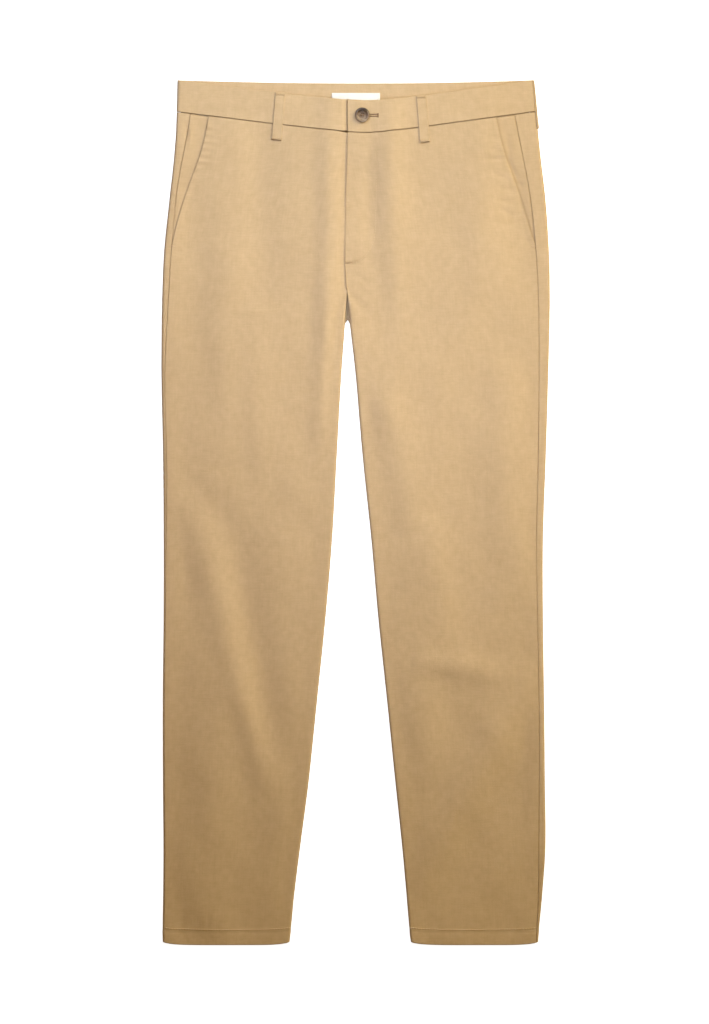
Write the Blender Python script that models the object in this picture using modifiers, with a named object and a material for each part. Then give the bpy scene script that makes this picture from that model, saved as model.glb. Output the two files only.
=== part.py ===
"""Chino trousers laid flat on their back, front up, waist towards +Y.

Each half of the garment is a flattened tube of cloth. Its section at any height is a ring:
flat underneath, rolled at the outer fold, lying along the top, and below the crotch rolled
again at the inner fold. Every piece is a stretch of that ring, given a wall by Solidify.
Left and right are the wearer's: the wearer's left is at +X. Tables are in millimetres,
x from near the middle of the laid width and y up from the hem.
"""

import math
from collections import namedtuple

import bmesh
import bpy
from mathutils import Vector

MM = 0.001

# ---------------------------------------------------------------- driving sizes, mm
CROTCH_Y = 762.0  # where the two legs part
FORK_TOP_Y = 810.0  # where the dip between the fronts begins
BACK_FORK_TOP_Y = 772.0  # where it begins between the backs, which show through the fronts' dip
FLY_FOOT_Y = 840.0  # foot of the fly's lap
WAIST_SEAM_Y = 1024.0  # waistband seam at the side folds
BAND_HEIGHT = 39.0
LENGTH = WAIST_SEAM_Y + BAND_HEIGHT  # hem to the top of the waistband at the sides
CLOTH = 1.2  # wall of one panel
BAND_CLOTH = 2.0  # wall of the waistband, two layers and its interlining
LOOP_CLOTH = 1.2
LABEL_CLOTH = 0.6
MIDDLE_X = 0.8  # middle of the laid width, put at the origin
GAP = 0.3  # clearance at seams and between layers
SEAM_HALF = 0.3  # half of a seam's clearance, measured round a fold
WAIST_GAP = 0.45  # between a panel's top edge and the waistband
END_STEP = 0.3  # a narrow last column, which squares a piece's edge to the fold
LAP_GAP = 0.6  # clearance of a layer that lies under another's end
FLY_LAP = 14.0  # right front under the left
BAND_LAP = 38.0  # right waistband under the left
FRONT_BAND_DIP = 26.0  # how much lower the front waist seam sits at its lowest place
BAND_DIP_X = 13.0  # where it is lowest
DIP_ROUND = 0.1  # how far its lowest stretch is rounded, as a share of half the waist
BACK_BAND_DIP = 4.0
HALF_WAIST = 223.0
LOOP_LIFT = 1.5  # back waist held off the surface by the loops beneath it
LAP_RISE = 2.4  # extra height where the waistband's ends lap
LAP_SPREAD = 45.0
MID_SAG = 0.8  # top layer between its rolled edges
ROLL_FADE = 26.0  # distance over which the sag and the folds fade to a rolled edge
HEM_CORNER_RISE = 3.5
HEM_CORNER_FADE = 60.0
FACING_UNDERLAP = 20.0
FACING_FOOT = 10.0

LOOP_WIDTH = 12.0
LOOP_BELOW_SEAM = 21.0
FRONT_LOOP_MIDDLE_X = -5.2
FRONT_LOOP_X = 88.8  # from that middle to a front loop
FRONT_LOOP_LEAN = 4.6  # how much nearer to the middle a front loop's top is than its foot
SIDE_LOOP_BEHIND_SEAM = 31.0

BUTTON_X, BUTTON_Y = 9.0, 1019.0
BUTTON_RADIUS, BUTTON_HEIGHT = 9.1, 3.2
BUTTON_HOLE_RADIUS, BUTTON_HOLE_OFFSET = 0.9, 1.6
BUTTON_LIFT = 0.5

LABEL_X, LABEL_Y = 1.2, 1035.0
LABEL_WIDTH, LABEL_HEIGHT = 59.0, 24.0

# ---------------------------------------------------------------- tables, mm
Leg = namedtuple("Leg", "y right_outer right_inner left_inner left_outer")
LEGS = (
    Leg(0, -236.0, -80.6, 68.8, 224.8),
    Leg(20, -236.4, -78.4, 66.6, 226.4),
    Leg(60, -235.8, -74.8, 63.4, 230.0),
    Leg(120, -235.4, -67.4, 58.0, 234.0),
    Leg(200, -236.0, -57.0, 49.6, 233.4),
    Leg(300, -236.2, -46.6, 39.4, 232.4),
    Leg(400, -235.2, -36.4, 28.8, 231.0),
    Leg(500, -235.0, -28.0, 19.9, 231.0),
    Leg(600, -235.8, -22.4, 9.4, 234.4),
    Leg(700, -237.8, -16.8, 0.8, 237.4),
    Leg(CROTCH_Y, -237.6, -12.3, -6.2, 239.0),
)

Side = namedtuple("Side", "y right left")
HIPS = (  # outer folds above the crotch
    Side(CROTCH_Y, -237.6, 239.0),
    Side(800, -236.8, 239.4),
    Side(854, -234.4, 238.2),
    Side(916, -228.0, 234.0),
    Side(977, -221.4, 227.0),
    Side(1024, -218.8, 222.4),
    Side(LENGTH, -217.8, 218.8),
)
SIDE_SEAM_INSET = (  # from the outer fold to the side seam
    Side(0, 1.6, 2.2),
    Side(60, 1.6, 5.0),
    Side(120, 1.6, 8.4),
    Side(240, 1.6, 6.6),
    Side(420, 2.0, 7.0),
    Side(590, 4.2, 9.3),
    Side(700, 4.0, 11.4),
    Side(790, 7.6, 14.0),
    Side(860, 8.7, 16.3),
    Side(940, 8.4, 19.6),
    Side(1024, 16.4, 26.4),
)
POCKET_INSET = (  # from the outer fold to the slanted pocket edge
    Side(860, 8.7, 16.3),
    Side(896, 13.6, 25.3),
    Side(936, 22.0, 33.7),
    Side(980, 32.4, 43.4),
    Side(1024, 39.0, 48.8),
)

Height = namedtuple("Height", "y stack")
HEIGHTS = (  # whole thickness at the rolled edges
    Height(0, 5.0),
    Height(120, 5.5),
    Height(400, 5.9),
    Height(762, 6.2),
    Height(900, 6.3),
    Height(LENGTH, 6.5),
)

Line = namedtuple("Line", "y x")
FLY_LINE = (  # edge of the fly, and the front seam below it
    Line(CROTCH_Y, -9.2),
    Line(FORK_TOP_Y, -10.0),
    Line(FLY_FOOT_Y, -11.4),
    Line(916, -10.7),
    Line(1000, -8.7),
    Line(LENGTH, -8.6),
)
BACK_LINE = (Line(CROTCH_Y, -9.2), Line(FORK_TOP_Y, -8.6), Line(LENGTH, 1.2))

LapStep = namedtuple("LapStep", "share beside depth")
LAP_STEPS = (  # a lapped end, from its tip back to where it rises to the surface
    LapStep(1.0, 0.0, 1.0),
    LapStep(0.5, 0.0, 1.0),
    LapStep(0.0, -0.4, 1.0),
    LapStep(0.0, -2.5, 0.55),
    LapStep(0.0, -6.0, 0.0),
)
LAP_CLEAR_Y = 0.8  # a lapped end's edge is set back from the waist seam

Fold = namedtuple("Fold", "name x0 y0 x1 y1 half_width lift")
FOLDS = (
    Fold("beside the fly", -50, 1000, -44, 730, 14, -1.3),
    Fold("ridge along the fly", -26, 990, -24, 790, 10, 0.6),
    Fold("below the right front loop", -92, 930, -86, 830, 14, -0.6),
    Fold("right hip", -165, 900, -178, 790, 22, -0.6),
    Fold("right knee ridge", -151, 430, -106, 250, 15, 0.8),
    Fold("outside the knee ridge", -172, 400, -160, 280, 20, -0.7),
    Fold("inside the knee ridge", -84, 340, -76, 200, 18, -0.7),
    Fold("left front beside the fly", 26, 995, 34, 905, 15, -0.9),
    Fold("left front ridge", 60, 990, 62, 880, 18, 0.7),
    Fold("left hip", 128, 980, 142, 820, 22, -0.8),
    Fold("left thigh hollow", 43, 625, 54, 495, 15, -0.9),
    Fold("left thigh ridge", 92, 610, 97, 500, 16, 0.7),
    Fold("left knee ridge", 112, 440, 133, 365, 20, 0.6),
    Fold("left calf hollow", 158, 300, 112, 180, 26, -0.8),
)

# Rows across every panel, closer together where the outline turns.
ROWS = (
    *(0, 20, 60, 120, 190, 250, 310, 370, 430, 500, 570, 640, 700),
    *(CROTCH_Y, BACK_FORK_TOP_Y, 795, FORK_TOP_Y, FLY_FOOT_Y, 860, 896, 936, 980, 1002, WAIST_SEAM_Y),
)

RIGHT, LEFT = -1, 1  # the wearer's sides, as the sign of x

CHINO = (0.68, 0.50, 0.30)
CHINO_SHADED = (0.60, 0.43, 0.25)
WHITE = (0.90, 0.90, 0.88)
BROWN = (0.16, 0.11, 0.08)


# ---------------------------------------------------------------- curves and blends
def smooth(t):
    """0 below 0, 1 above 1, with a soft start and end."""
    t = min(max(t, 0.0), 1.0)
    return t * t * (3.0 - 2.0 * t)


def curve(rows, column, y):
    """A column of a table as a smooth curve through its rows."""
    y = min(max(y, rows[0].y), rows[-1].y)
    k = max(i for i in range(len(rows) - 1) if rows[i].y <= y)

    def slope(i):
        low, high = max(i - 1, 0), min(i + 1, len(rows) - 1)
        rise = getattr(rows[high], column) - getattr(rows[low], column)
        return rise / (rows[high].y - rows[low].y)

    span = rows[k + 1].y - rows[k].y
    t = (y - rows[k].y) / span
    start, end = getattr(rows[k], column), getattr(rows[k + 1], column)
    ease = t * t * (3.0 - 2.0 * t)
    bend_in = t * (1.0 - t) ** 2 * span * slope(k)
    bend_out = t * t * (t - 1.0) * span * slope(k + 1)
    return start + (end - start) * ease + bend_in + bend_out


def side_name(side):
    return "right" if side == RIGHT else "left"


def outer_x(side, y):
    if y < CROTCH_Y:
        return curve(LEGS, side_name(side) + "_outer", y)
    return curve(HIPS, side_name(side), y)


def fly_lap(y):
    """How far the right front runs under the left."""
    return FLY_LAP * smooth((y - FORK_TOP_Y) / 28.0)


def inner_x(side, y, front):
    """The inner fold of a leg, and above the crotch the centre seam."""
    leg = curve(LEGS, side_name(side) + "_inner", min(y, CROTCH_Y))
    centre = curve(FLY_LINE if front else BACK_LINE, "x", y) + side * GAP / 2
    return centre + (leg - centre) * fork_share(y, front)


def fork_share(y, front):
    """1 where the inner edge rolls into a leg's fold, 0 where it lies flat at the centre."""
    top = FORK_TOP_Y if front else BACK_FORK_TOP_Y
    return 1.0 - smooth((y - CROTCH_Y) / (top - CROTCH_Y))


def base_z(y):
    return LOOP_LIFT * smooth((y - 925.0) / 55.0)


def fold_lift(x, y):
    """Sum of the soft troughs and ridges, each a rounded groove along its line."""
    total = 0.0
    for fold in FOLDS:
        start = Vector((fold.x0, fold.y0))
        along = Vector((fold.x1, fold.y1)) - start
        share = (Vector((x, y)) - start).dot(along) / along.length_squared
        near = start + along * min(max(share, 0.05), 0.95)
        far = (Vector((x, y)) - near).length / fold.half_width
        total += fold.lift * math.exp(-far * far)
    return total


def lap_rise(x, y):
    across = (x - BUTTON_X) / LAP_SPREAD
    return LAP_RISE * math.exp(-across * across) * smooth((y - 945.0) / 55.0)


def seam_y(x, top_share):
    """The waistband's lower edge: the front dips in the middle, the back hardly at all."""
    reach = HALF_WAIST - math.copysign(BAND_DIP_X, x - BAND_DIP_X)
    out = min(abs(x - BAND_DIP_X) / reach, 1.0)
    rise = (math.hypot(out, DIP_ROUND) - DIP_ROUND) / (math.hypot(1.0, DIP_ROUND) - DIP_ROUND)
    front = WAIST_SEAM_Y - FRONT_BAND_DIP * (1.0 - rise)
    back = WAIST_SEAM_Y - BACK_BAND_DIP * (1.0 - out**2)
    return back + (front - back) * top_share


def relief(x, y):
    """Height of the loose top layer above the line of its rolled edges."""
    return fold_lift(x, y) - MID_SAG


def settle_y(x, row, top_share, mid_share):
    """The true y of a row: it follows the waist seam at the top and the hem's corners below."""
    waist = (seam_y(x, top_share) - WAIST_SEAM_Y) * smooth((row - 890.0) / (WAIST_SEAM_Y - 890.0))
    hem = HEM_CORNER_RISE * abs(mid_share) ** 6 * (1.0 - smooth(row / HEM_CORNER_FADE))
    return row + waist + hem


# ---------------------------------------------------------------- the ring of cloth
class Ring:
    """Half of the garment at one row: distances run from the outer fold's tip."""

    def __init__(self, side, row, front):
        self.side, self.row, self.front = side, row, front
        self.outer = outer_x(side, row)
        self.width = abs(inner_x(side, row, front) - self.outer)
        self.stack = curve(HEIGHTS, "stack", row)
        self.radius = self.stack / 2.0
        self.quarter = math.pi * self.radius / 2.0
        self.fork = fork_share(row, front)

    def flat_length(self):
        return self.width - 2.0 * self.radius

    def whole(self):
        """Cloth length of one layer, from fold tip to fold tip."""
        return 2.0 * self.quarter + self.flat_length()

    def at_inset(self, inset):
        """Cloth distance of a point seen this far in from the outline."""
        if inset >= self.radius:
            return self.quarter + inset - self.radius
        return self.radius * math.acos(1.0 - inset / self.radius)

    def across(self, u):
        """(inset, roll at the outer fold, drop at the inner fold) for a cloth distance."""
        far = abs(u)
        if far <= self.quarter:
            angle = far / self.radius
            return self.radius * (1.0 - math.cos(angle)), math.sin(angle), 0.0
        if far <= self.quarter + self.flat_length():
            return self.radius + far - self.quarter, 1.0, 0.0
        angle = min((far - self.quarter - self.flat_length()) / self.radius, math.pi / 2)
        inset = self.radius + self.flat_length() + self.radius * math.sin(angle)
        return inset, 1.0, self.fork * self.radius * (1.0 - math.cos(angle))

    def point(self, u):
        """Outer face of the cloth: u runs over the top, and below zero underneath."""
        inset, roll, drop = self.across(u)
        x = self.outer - self.side * inset
        top = u >= 0.0
        top_share = 0.5 + (0.5 if top else -0.5) * roll
        mid_share = 1.0 - 2.0 * inset / self.width
        y = settle_y(x, self.row, top_share, mid_share)
        base = base_z(y)
        middle = base + self.radius
        if not top:
            return Vector((x, y, middle - self.radius * roll + drop))
        from_edge = min(inset - self.radius, (self.width - inset) / max(self.fork, 0.001))
        loose = smooth(from_edge / ROLL_FADE)
        lift = relief(x, y) * loose + lap_rise(x, y) * roll
        return Vector((x, y, middle + self.radius * roll - drop + lift))


def cloth_point(side, row, u, front, lift=0.0):
    """A point of the ring, moved out from the cloth by lift."""
    place = Ring(side, row, front).point(u)
    if lift == 0.0:
        return place
    step = 0.4
    along_u = Ring(side, row, front).point(u + step) - Ring(side, row, front).point(u - step)
    along_y = Ring(side, row + step, front).point(u) - Ring(side, row - step, front).point(u)
    normal = along_u.cross(along_y).normalized() * -side
    return place + normal * lift


def lapped_point(x, row, depth, clear_y):
    """A point of the top layer's middle, sunk by depth to lie under the other half's end."""
    y = settle_y(x, row, 1.0, 0.0)
    z = base_z(y) + curve(HEIGHTS, "stack", row) + relief(x, y) + lap_rise(x, y)
    return Vector((x, y + clear_y, z - depth))


# ---------------------------------------------------------------- making the pieces
def material(name, colour, roughness):
    made = bpy.data.materials.new(name)
    made.use_nodes = True
    shader = made.node_tree.nodes["Principled BSDF"]
    shader.inputs["Base Color"].default_value = (*colour, 1.0)
    shader.inputs["Roughness"].default_value = roughness
    shader.inputs["Metallic"].default_value = 0.0
    return made


def in_frame(at):
    """A place in the tables' millimetres, as metres about the middle of the laid garment."""
    return (at - Vector((MIDDLE_X, LENGTH / 2.0, 0.0))) * MM


def sheet(name, columns, rows, place, wall, outwards, flip, colour):
    """A cloth piece: a grid laid on place(i, j), then given its wall."""
    mesh = bpy.data.meshes.new(name)
    grid = bmesh.new()
    bmesh.ops.create_grid(grid, x_segments=columns - 1, y_segments=rows - 1, size=0.5)
    for vert in grid.verts:
        i = round((vert.co.x + 0.5) * (columns - 1))
        j = round((vert.co.y + 0.5) * (rows - 1))
        at = place(i, j)
        vert.co = in_frame(at)
    if flip:
        bmesh.ops.reverse_faces(grid, faces=grid.faces)
    grid.to_mesh(mesh)
    grid.free()
    mesh.shade_smooth()
    made = bpy.data.objects.new(name, mesh)
    trousers.objects.link(made)
    mesh.materials.append(material(name, colour, 0.85))
    shell = made.modifiers.new("wall", "SOLIDIFY")
    shell.thickness = wall * MM
    shell.offset = 1.0 if outwards else -1.0
    return made


def spread(start, end, count):
    """Values from start to end, both ends included."""
    return [start + (end - start) * i / (count - 1) for i in range(count)]


def front_start(side, row):
    """Where a front begins: at the side seam, and above the pocket's foot at its slanted edge."""
    ring = Ring(side, row, True)
    inset = curve(SIDE_SEAM_INSET, side_name(side), row)
    if row > POCKET_INSET[0].y:
        inset = max(inset, curve(POCKET_INSET, side_name(side), row))
    return ring.at_inset(inset) + SEAM_HALF


def panel_rows():
    return [min(row, WAIST_SEAM_Y - WAIST_GAP) for row in ROWS]


def front_panel(side):
    """A front, from the pocket edge and side seam to the fly, round the inner fold below it."""
    rows = panel_rows()
    roll_columns, flat_columns = 4, 11

    def columns_of(row):
        ring = Ring(side, row, True)
        start = front_start(side, row)
        end = ring.whole() - SEAM_HALF
        turn = ring.whole() - ring.quarter
        first = [start, start + 0.6, start + 2.5, start + 5.0, start + 9.0]
        middle = spread(start + 9.0, turn, flat_columns + 1)
        last = spread(turn, end - END_STEP, roll_columns)
        return first + middle[1:] + last[1:] + [end]

    table = [columns_of(row) for row in rows]

    def place(i, j):
        at = cloth_point(side, rows[j], table[j][i], True)
        return at if side == LEFT else under_the_fly(at, rows[j], i, len(table[j]))

    name = "front_" + side_name(side)
    return sheet(name, len(table[0]), len(rows), place, CLOTH, False, side == LEFT, CHINO)


def under_the_fly(at, row, i, count):
    """The right front's last columns step down and run on beneath the left front's edge."""
    last = count - 1 - i
    if last >= len(LAP_STEPS) or row < FORK_TOP_Y:
        return at
    step = LAP_STEPS[last]
    x = curve(FLY_LINE, "x", row) - GAP + step.beside + fly_lap(row) * step.share
    return lapped_point(x, row, (CLOTH + LAP_GAP) * step.depth, -LAP_CLEAR_Y * step.depth)


def back_panel(side):
    """A back, from the side seam on top, round the outer fold and along the underside."""
    rows = panel_rows()
    top_columns, roll_columns, flat_columns, inner_columns = 3, 6, 7, 4

    def columns_of(row):
        ring = Ring(side, row, False)
        start = ring.at_inset(curve(SIDE_SEAM_INSET, side_name(side), row)) - SEAM_HALF
        shoulder = min(start, ring.quarter)
        turn = ring.whole() - ring.quarter
        first = spread(start, shoulder * 0.98, top_columns)
        roll = spread(shoulder * 0.98, -ring.quarter, roll_columns + 1)
        flat = spread(-ring.quarter, -turn, flat_columns + 1)
        end = -(ring.whole() - SEAM_HALF)
        last = spread(-turn, end + END_STEP, inner_columns)
        return first + roll[1:] + flat[1:] + last[1:] + [end]

    table = [columns_of(row) for row in rows]

    def place(i, j):
        return cloth_point(side, rows[j], table[j][i], False)

    name = "back_" + side_name(side)
    return sheet(name, len(table[0]), len(rows), place, CLOTH, False, side == RIGHT, CHINO)


def pocket_facing(side):
    """The cloth seen inside a slanted pocket, running on under the front's edge."""
    foot = POCKET_INSET[0].y - FACING_FOOT
    rows = [foot] + [row for row in panel_rows() if row > foot + 2.0]
    columns = 7
    under = CLOTH + GAP

    def place(i, j):
        ring = Ring(side, rows[j], True)
        seam = ring.at_inset(curve(SIDE_SEAM_INSET, side_name(side), rows[j])) + SEAM_HALF
        edge = front_start(side, rows[j])
        mouth = edge - seam
        if i <= 3:
            u = seam + mouth * i / 3.0
            share = max(smooth(i / 3.0), 1.0 - smooth(mouth / 16.0))
        else:
            u = edge + FACING_UNDERLAP * (i - 3) / (columns - 1 - 3)
            share = 1.0
        return cloth_point(side, rows[j], u, True, -under * share)

    name = "pocket_facing_" + side_name(side)
    return sheet(name, columns, len(rows), place, CLOTH, False, side == LEFT, CHINO_SHADED)


def waistband(side):
    """Half of the waistband, from its front end round the side fold to the centre back."""
    rows = spread(WAIST_SEAM_Y, WAIST_SEAM_Y + BAND_HEIGHT, 3)
    laps = LAP_STEPS if side == RIGHT else ()

    def stops_of(row):
        front, back = Ring(side, row, True), Ring(side, row, False)
        over = spread(front.whole() - GAP / 2, front.quarter, 12)
        roll = spread(front.quarter, -front.quarter, 7)
        below = spread(-back.quarter, -(back.whole() - GAP / 2), 8)
        return over + roll[1:] + below[1:]

    table = [stops_of(row) for row in rows]

    def place(i, j):
        row = rows[j]
        if i < len(laps):
            x = curve(FLY_LINE, "x", row) - GAP + laps[i].beside + BAND_LAP * laps[i].share
            under = (BAND_CLOTH + LAP_GAP) * laps[i].depth
            return lapped_point(x, row, under, LAP_CLEAR_Y * laps[i].depth)
        u = table[j][i - len(laps) + 1 if laps else i]
        return cloth_point(side, row, u, u >= 0.0)

    count = len(table[0]) + max(len(laps) - 1, 0)
    name = "waistband_" + side_name(side)
    return sheet(name, count, len(rows), place, BAND_CLOTH, False, side == RIGHT, CHINO)


def belt_loop(name, side, middle, columns):
    """A strip lying over the waistband, made from the cloth's points moved out.

    middle gives the cloth distance of its middle line on a ring, at a share of its length.
    """
    rows = spread(WAIST_SEAM_Y - LOOP_BELOW_SEAM, WAIST_SEAM_Y + BAND_HEIGHT - GAP, 6)

    def place(i, j):
        along = middle(Ring(side, rows[j], True), j / (len(rows) - 1))
        u = along + LOOP_WIDTH * (i / (columns - 1) - 0.5)
        return cloth_point(side, rows[j], u, u >= 0.0, GAP)

    return sheet(name, columns, len(rows), place, LOOP_CLOTH, True, side == LEFT, CHINO)


def belt_loops():
    row = WAIST_SEAM_Y + BAND_HEIGHT / 2
    for side in (RIGHT, LEFT):

        def front_middle(ring, share, side=side):
            """The front loop's middle line, leaning in towards its top."""
            lean = FRONT_LOOP_LEAN * (0.5 - share)
            x = FRONT_LOOP_MIDDLE_X + side * (FRONT_LOOP_X + lean)
            return ring.at_inset(abs(ring.outer - x))

        def side_middle(ring, share, side=side):
            """The side loop's middle line, behind the side seam."""
            seam = ring.at_inset(curve(SIDE_SEAM_INSET, side_name(side), row))
            return seam - SIDE_LOOP_BEHIND_SEAM

        belt_loop("belt_loop_front_" + side_name(side), side, front_middle, 4)
        belt_loop("belt_loop_side_" + side_name(side), side, side_middle, 9)


def strip_on_back(name, x, y, width, height, z, wall, colour):
    """A flat rectangle of cloth at height z, following the back waistband's seam line."""
    columns, rows = 5, 3

    def place(i, j):
        at_x = x + width * (i / (columns - 1) - 0.5)
        return Vector((at_x, y + height * (j / (rows - 1) - 0.5), z))

    return sheet(name, columns, rows, place, wall, True, False, colour)


def centre_back_loop():
    height = BAND_HEIGHT + LOOP_BELOW_SEAM - 1.0
    top = seam_y(BACK_LINE[-1].x, 0.0) + BAND_HEIGHT - GAP
    z = LOOP_LIFT - GAP - LOOP_CLOTH
    strip_on_back(
        "belt_loop_centre_back", 1.0, top - height / 2, LOOP_WIDTH, height, z, LOOP_CLOTH, CHINO
    )


def label():
    z = LOOP_LIFT + BAND_CLOTH + GAP
    strip_on_back("label", LABEL_X, LABEL_Y, LABEL_WIDTH, LABEL_HEIGHT, z, LABEL_CLOTH, WHITE)


def disc(name, radius, height, segments):
    """A cylinder on the z axis, standing on z = 0, as a mesh."""
    mesh = bpy.data.meshes.new(name)
    form = bmesh.new()
    bmesh.ops.create_cone(
        form,
        cap_ends=True,
        segments=segments,
        radius1=radius * MM,
        radius2=radius * MM,
        depth=height * MM,
    )
    bmesh.ops.translate(form, verts=form.verts, vec=(0.0, 0.0, height * MM / 2))
    form.to_mesh(mesh)
    form.free()
    return mesh


def button():
    """A turned button: rounded rim, sunk middle and four sewing holes."""
    profile = (  # radius and height as shares, from the middle of the top to the foot's middle
        (0.0, 0.62),
        (0.52, 0.62),
        (0.66, 0.95),
        (0.82, 1.0),
        (1.0, 0.62),
        (0.92, 0.18),
        (0.62, 0.0),
        (0.0, 0.0),
    )
    mesh = bpy.data.meshes.new("button")
    outline = bmesh.new()
    rim = [
        outline.verts.new((share * BUTTON_RADIUS * MM, 0.0, rise * BUTTON_HEIGHT * MM))
        for share, rise in profile
    ]
    for first, second in zip(rim, rim[1:]):
        outline.edges.new((first, second))
    outline.to_mesh(mesh)
    outline.free()
    made = bpy.data.objects.new("button", mesh)
    trousers.objects.link(made)
    mesh.materials.append(material("button", BROWN, 0.35))
    turn = made.modifiers.new("turn", "SCREW")
    turn.steps = turn.render_steps = 28
    turn.use_merge_vertices = True
    turn.merge_threshold = 0.00001
    seat = max(
        lapped_point(BUTTON_X + dx, BUTTON_Y + dy, 0.0, 0.0).z
        for dx in (-BUTTON_RADIUS, 0.0, BUTTON_RADIUS)
        for dy in (-BUTTON_RADIUS, BUTTON_RADIUS + FRONT_BAND_DIP)
    )
    made.location = in_frame(Vector((BUTTON_X, BUTTON_Y, seat + BUTTON_LIFT)))
    for k in range(4):
        angle = math.pi / 4 + k * math.pi / 2
        hole = bpy.data.objects.new(f"hole_{k + 1}", disc("hole", BUTTON_HOLE_RADIUS, 8.0, 10))
        reach = BUTTON_HOLE_OFFSET * MM
        hole.location = made.location + Vector(
            (reach * math.cos(angle), reach * math.sin(angle), -2.0 * MM)
        )
        hole.hide_render = True
        hole.display_type = "WIRE"
        cutters.objects.link(hole)
        cut = made.modifiers.new(f"hole {k + 1}", "BOOLEAN")
        cut.operation = "DIFFERENCE"
        cut.object = hole


def clear_scene():
    for item in list(bpy.data.objects):
        bpy.data.objects.remove(item, do_unlink=True)


def collection(name):
    made = bpy.data.collections.new(name)
    bpy.context.scene.collection.children.link(made)
    return made


clear_scene()
trousers = collection("chino_trousers")
cutters = collection("cutters")
for half in (RIGHT, LEFT):
    back_panel(half)
    pocket_facing(half)
    front_panel(half)
    waistband(half)
belt_loops()
centre_back_loop()
label()
button()
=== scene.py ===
"""Chino trousers laid flat on their back, front up, waist towards +Y.

Each half of the garment is a flattened tube. Its section at one height is a ring of cloth: flat
underneath, rolled at the outer fold, lying along the top, and below the crotch rolled again at
the inner fold. Every panel is a stretch of that ring. Sizes are in millimetres: x from the
middle of the laid width, y up from the hem, z up from the surface; only `to_frame` turns them
into the frame's metres. Left and right are the wearer's, with the wearer's left at +X.
"""

import logging
import math
from dataclasses import dataclass, field
from enum import Enum
from functools import reduce
from typing import NamedTuple

import bmesh
import bpy
import numpy as np
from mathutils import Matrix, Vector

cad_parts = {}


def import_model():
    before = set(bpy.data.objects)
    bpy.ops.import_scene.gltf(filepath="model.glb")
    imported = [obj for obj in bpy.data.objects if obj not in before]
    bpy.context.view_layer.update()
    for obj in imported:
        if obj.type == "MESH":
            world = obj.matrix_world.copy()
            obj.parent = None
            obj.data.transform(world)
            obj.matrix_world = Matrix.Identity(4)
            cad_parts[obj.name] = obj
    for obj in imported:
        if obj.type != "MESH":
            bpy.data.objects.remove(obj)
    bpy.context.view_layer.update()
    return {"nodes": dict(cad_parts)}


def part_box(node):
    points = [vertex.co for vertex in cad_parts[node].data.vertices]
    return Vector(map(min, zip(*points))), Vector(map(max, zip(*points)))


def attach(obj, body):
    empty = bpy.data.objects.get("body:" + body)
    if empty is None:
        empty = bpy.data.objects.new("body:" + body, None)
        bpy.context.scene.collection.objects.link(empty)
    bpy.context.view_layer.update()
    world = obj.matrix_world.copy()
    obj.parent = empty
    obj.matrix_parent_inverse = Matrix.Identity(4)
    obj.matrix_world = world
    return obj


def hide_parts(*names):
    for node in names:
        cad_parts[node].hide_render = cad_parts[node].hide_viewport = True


Array = np.ndarray
Colour = tuple[float, float, float]
Cells = tuple[float, float, float]  # a pattern's cells to the metre along each axis

MM = 0.001
BODY = "root"
CROTCH = 762.0  # where the two legs part
FORK_TOP = 810.0  # where the dip between the fronts begins
BACK_FORK_TOP = 769.0  # where it begins between the backs, which show through the fronts' dip
WAIST_SEAM = 1024.0  # waistband seam at the side folds
BAND_HEIGHT = 39.0  # waistband, from its seam to its top edge
LENGTH = WAIST_SEAM + BAND_HEIGHT
MIDDLE = 0.8  # middle of the laid width, which lies at the frame's origin
CLOTH = 1.2  # wall of one panel
BAND_CLOTH = 2.0  # wall of the waistband
GAP = 0.3  # between two pieces that lie side by side
SEAM_HALF = 0.2  # half of the gap along a side seam or an inner seam
WAIST_GAP = 0.45  # between the panels' tops and the waistband
LAP_GAP = 0.6  # between the lapping ends of the waistband
EDGES = (0.0, 0.3, 0.65, 1.1, 1.7, 2.6, 3.9, 5.6, 7.6)  # close places beside a panel's edge
WEAVE_START = (400.0, 40.0)  # keeps the places in the weave above zero
WAIST_PAINTED_SHADE = 0.45  # strength of the shade painted along the waist seam
STITCH = (  # share of a stitch's length, share of its radius, height in radii
    (0.0, 0.0, -1.2),
    (0.06, 0.7, -0.9),
    (0.22, 1.0, 0.3),
    (0.5, 1.0, 0.7),
    (0.78, 1.0, 0.3),
    (0.94, 0.7, -0.9),
    (1.0, 0.0, -1.2),
)

log = logging.getLogger("chino_trousers")


class Side(Enum):
    """The wearer's sides, as the sign of x."""

    RIGHT = -1
    LEFT = 1

    @property
    def word(self) -> str:
        """The side's name in a piece's name."""
        return self.name.lower()

    @property
    def other(self) -> "Side":
        """The opposite side."""
        return Side(-self.value)


# -------------------- curves and blends
def smooth(t: Array) -> Array:
    """0 below 0, 1 above 1, with a soft start and end: 3t^2 - 2t^3."""
    t = np.clip(t, 0.0, 1.0)
    return t * t * (3.0 - 2.0 * t)


def bell(t: Array) -> Array:
    """1 at 0, falling away on both sides as exp(-t^2)."""
    return np.exp(-t * t)


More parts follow.
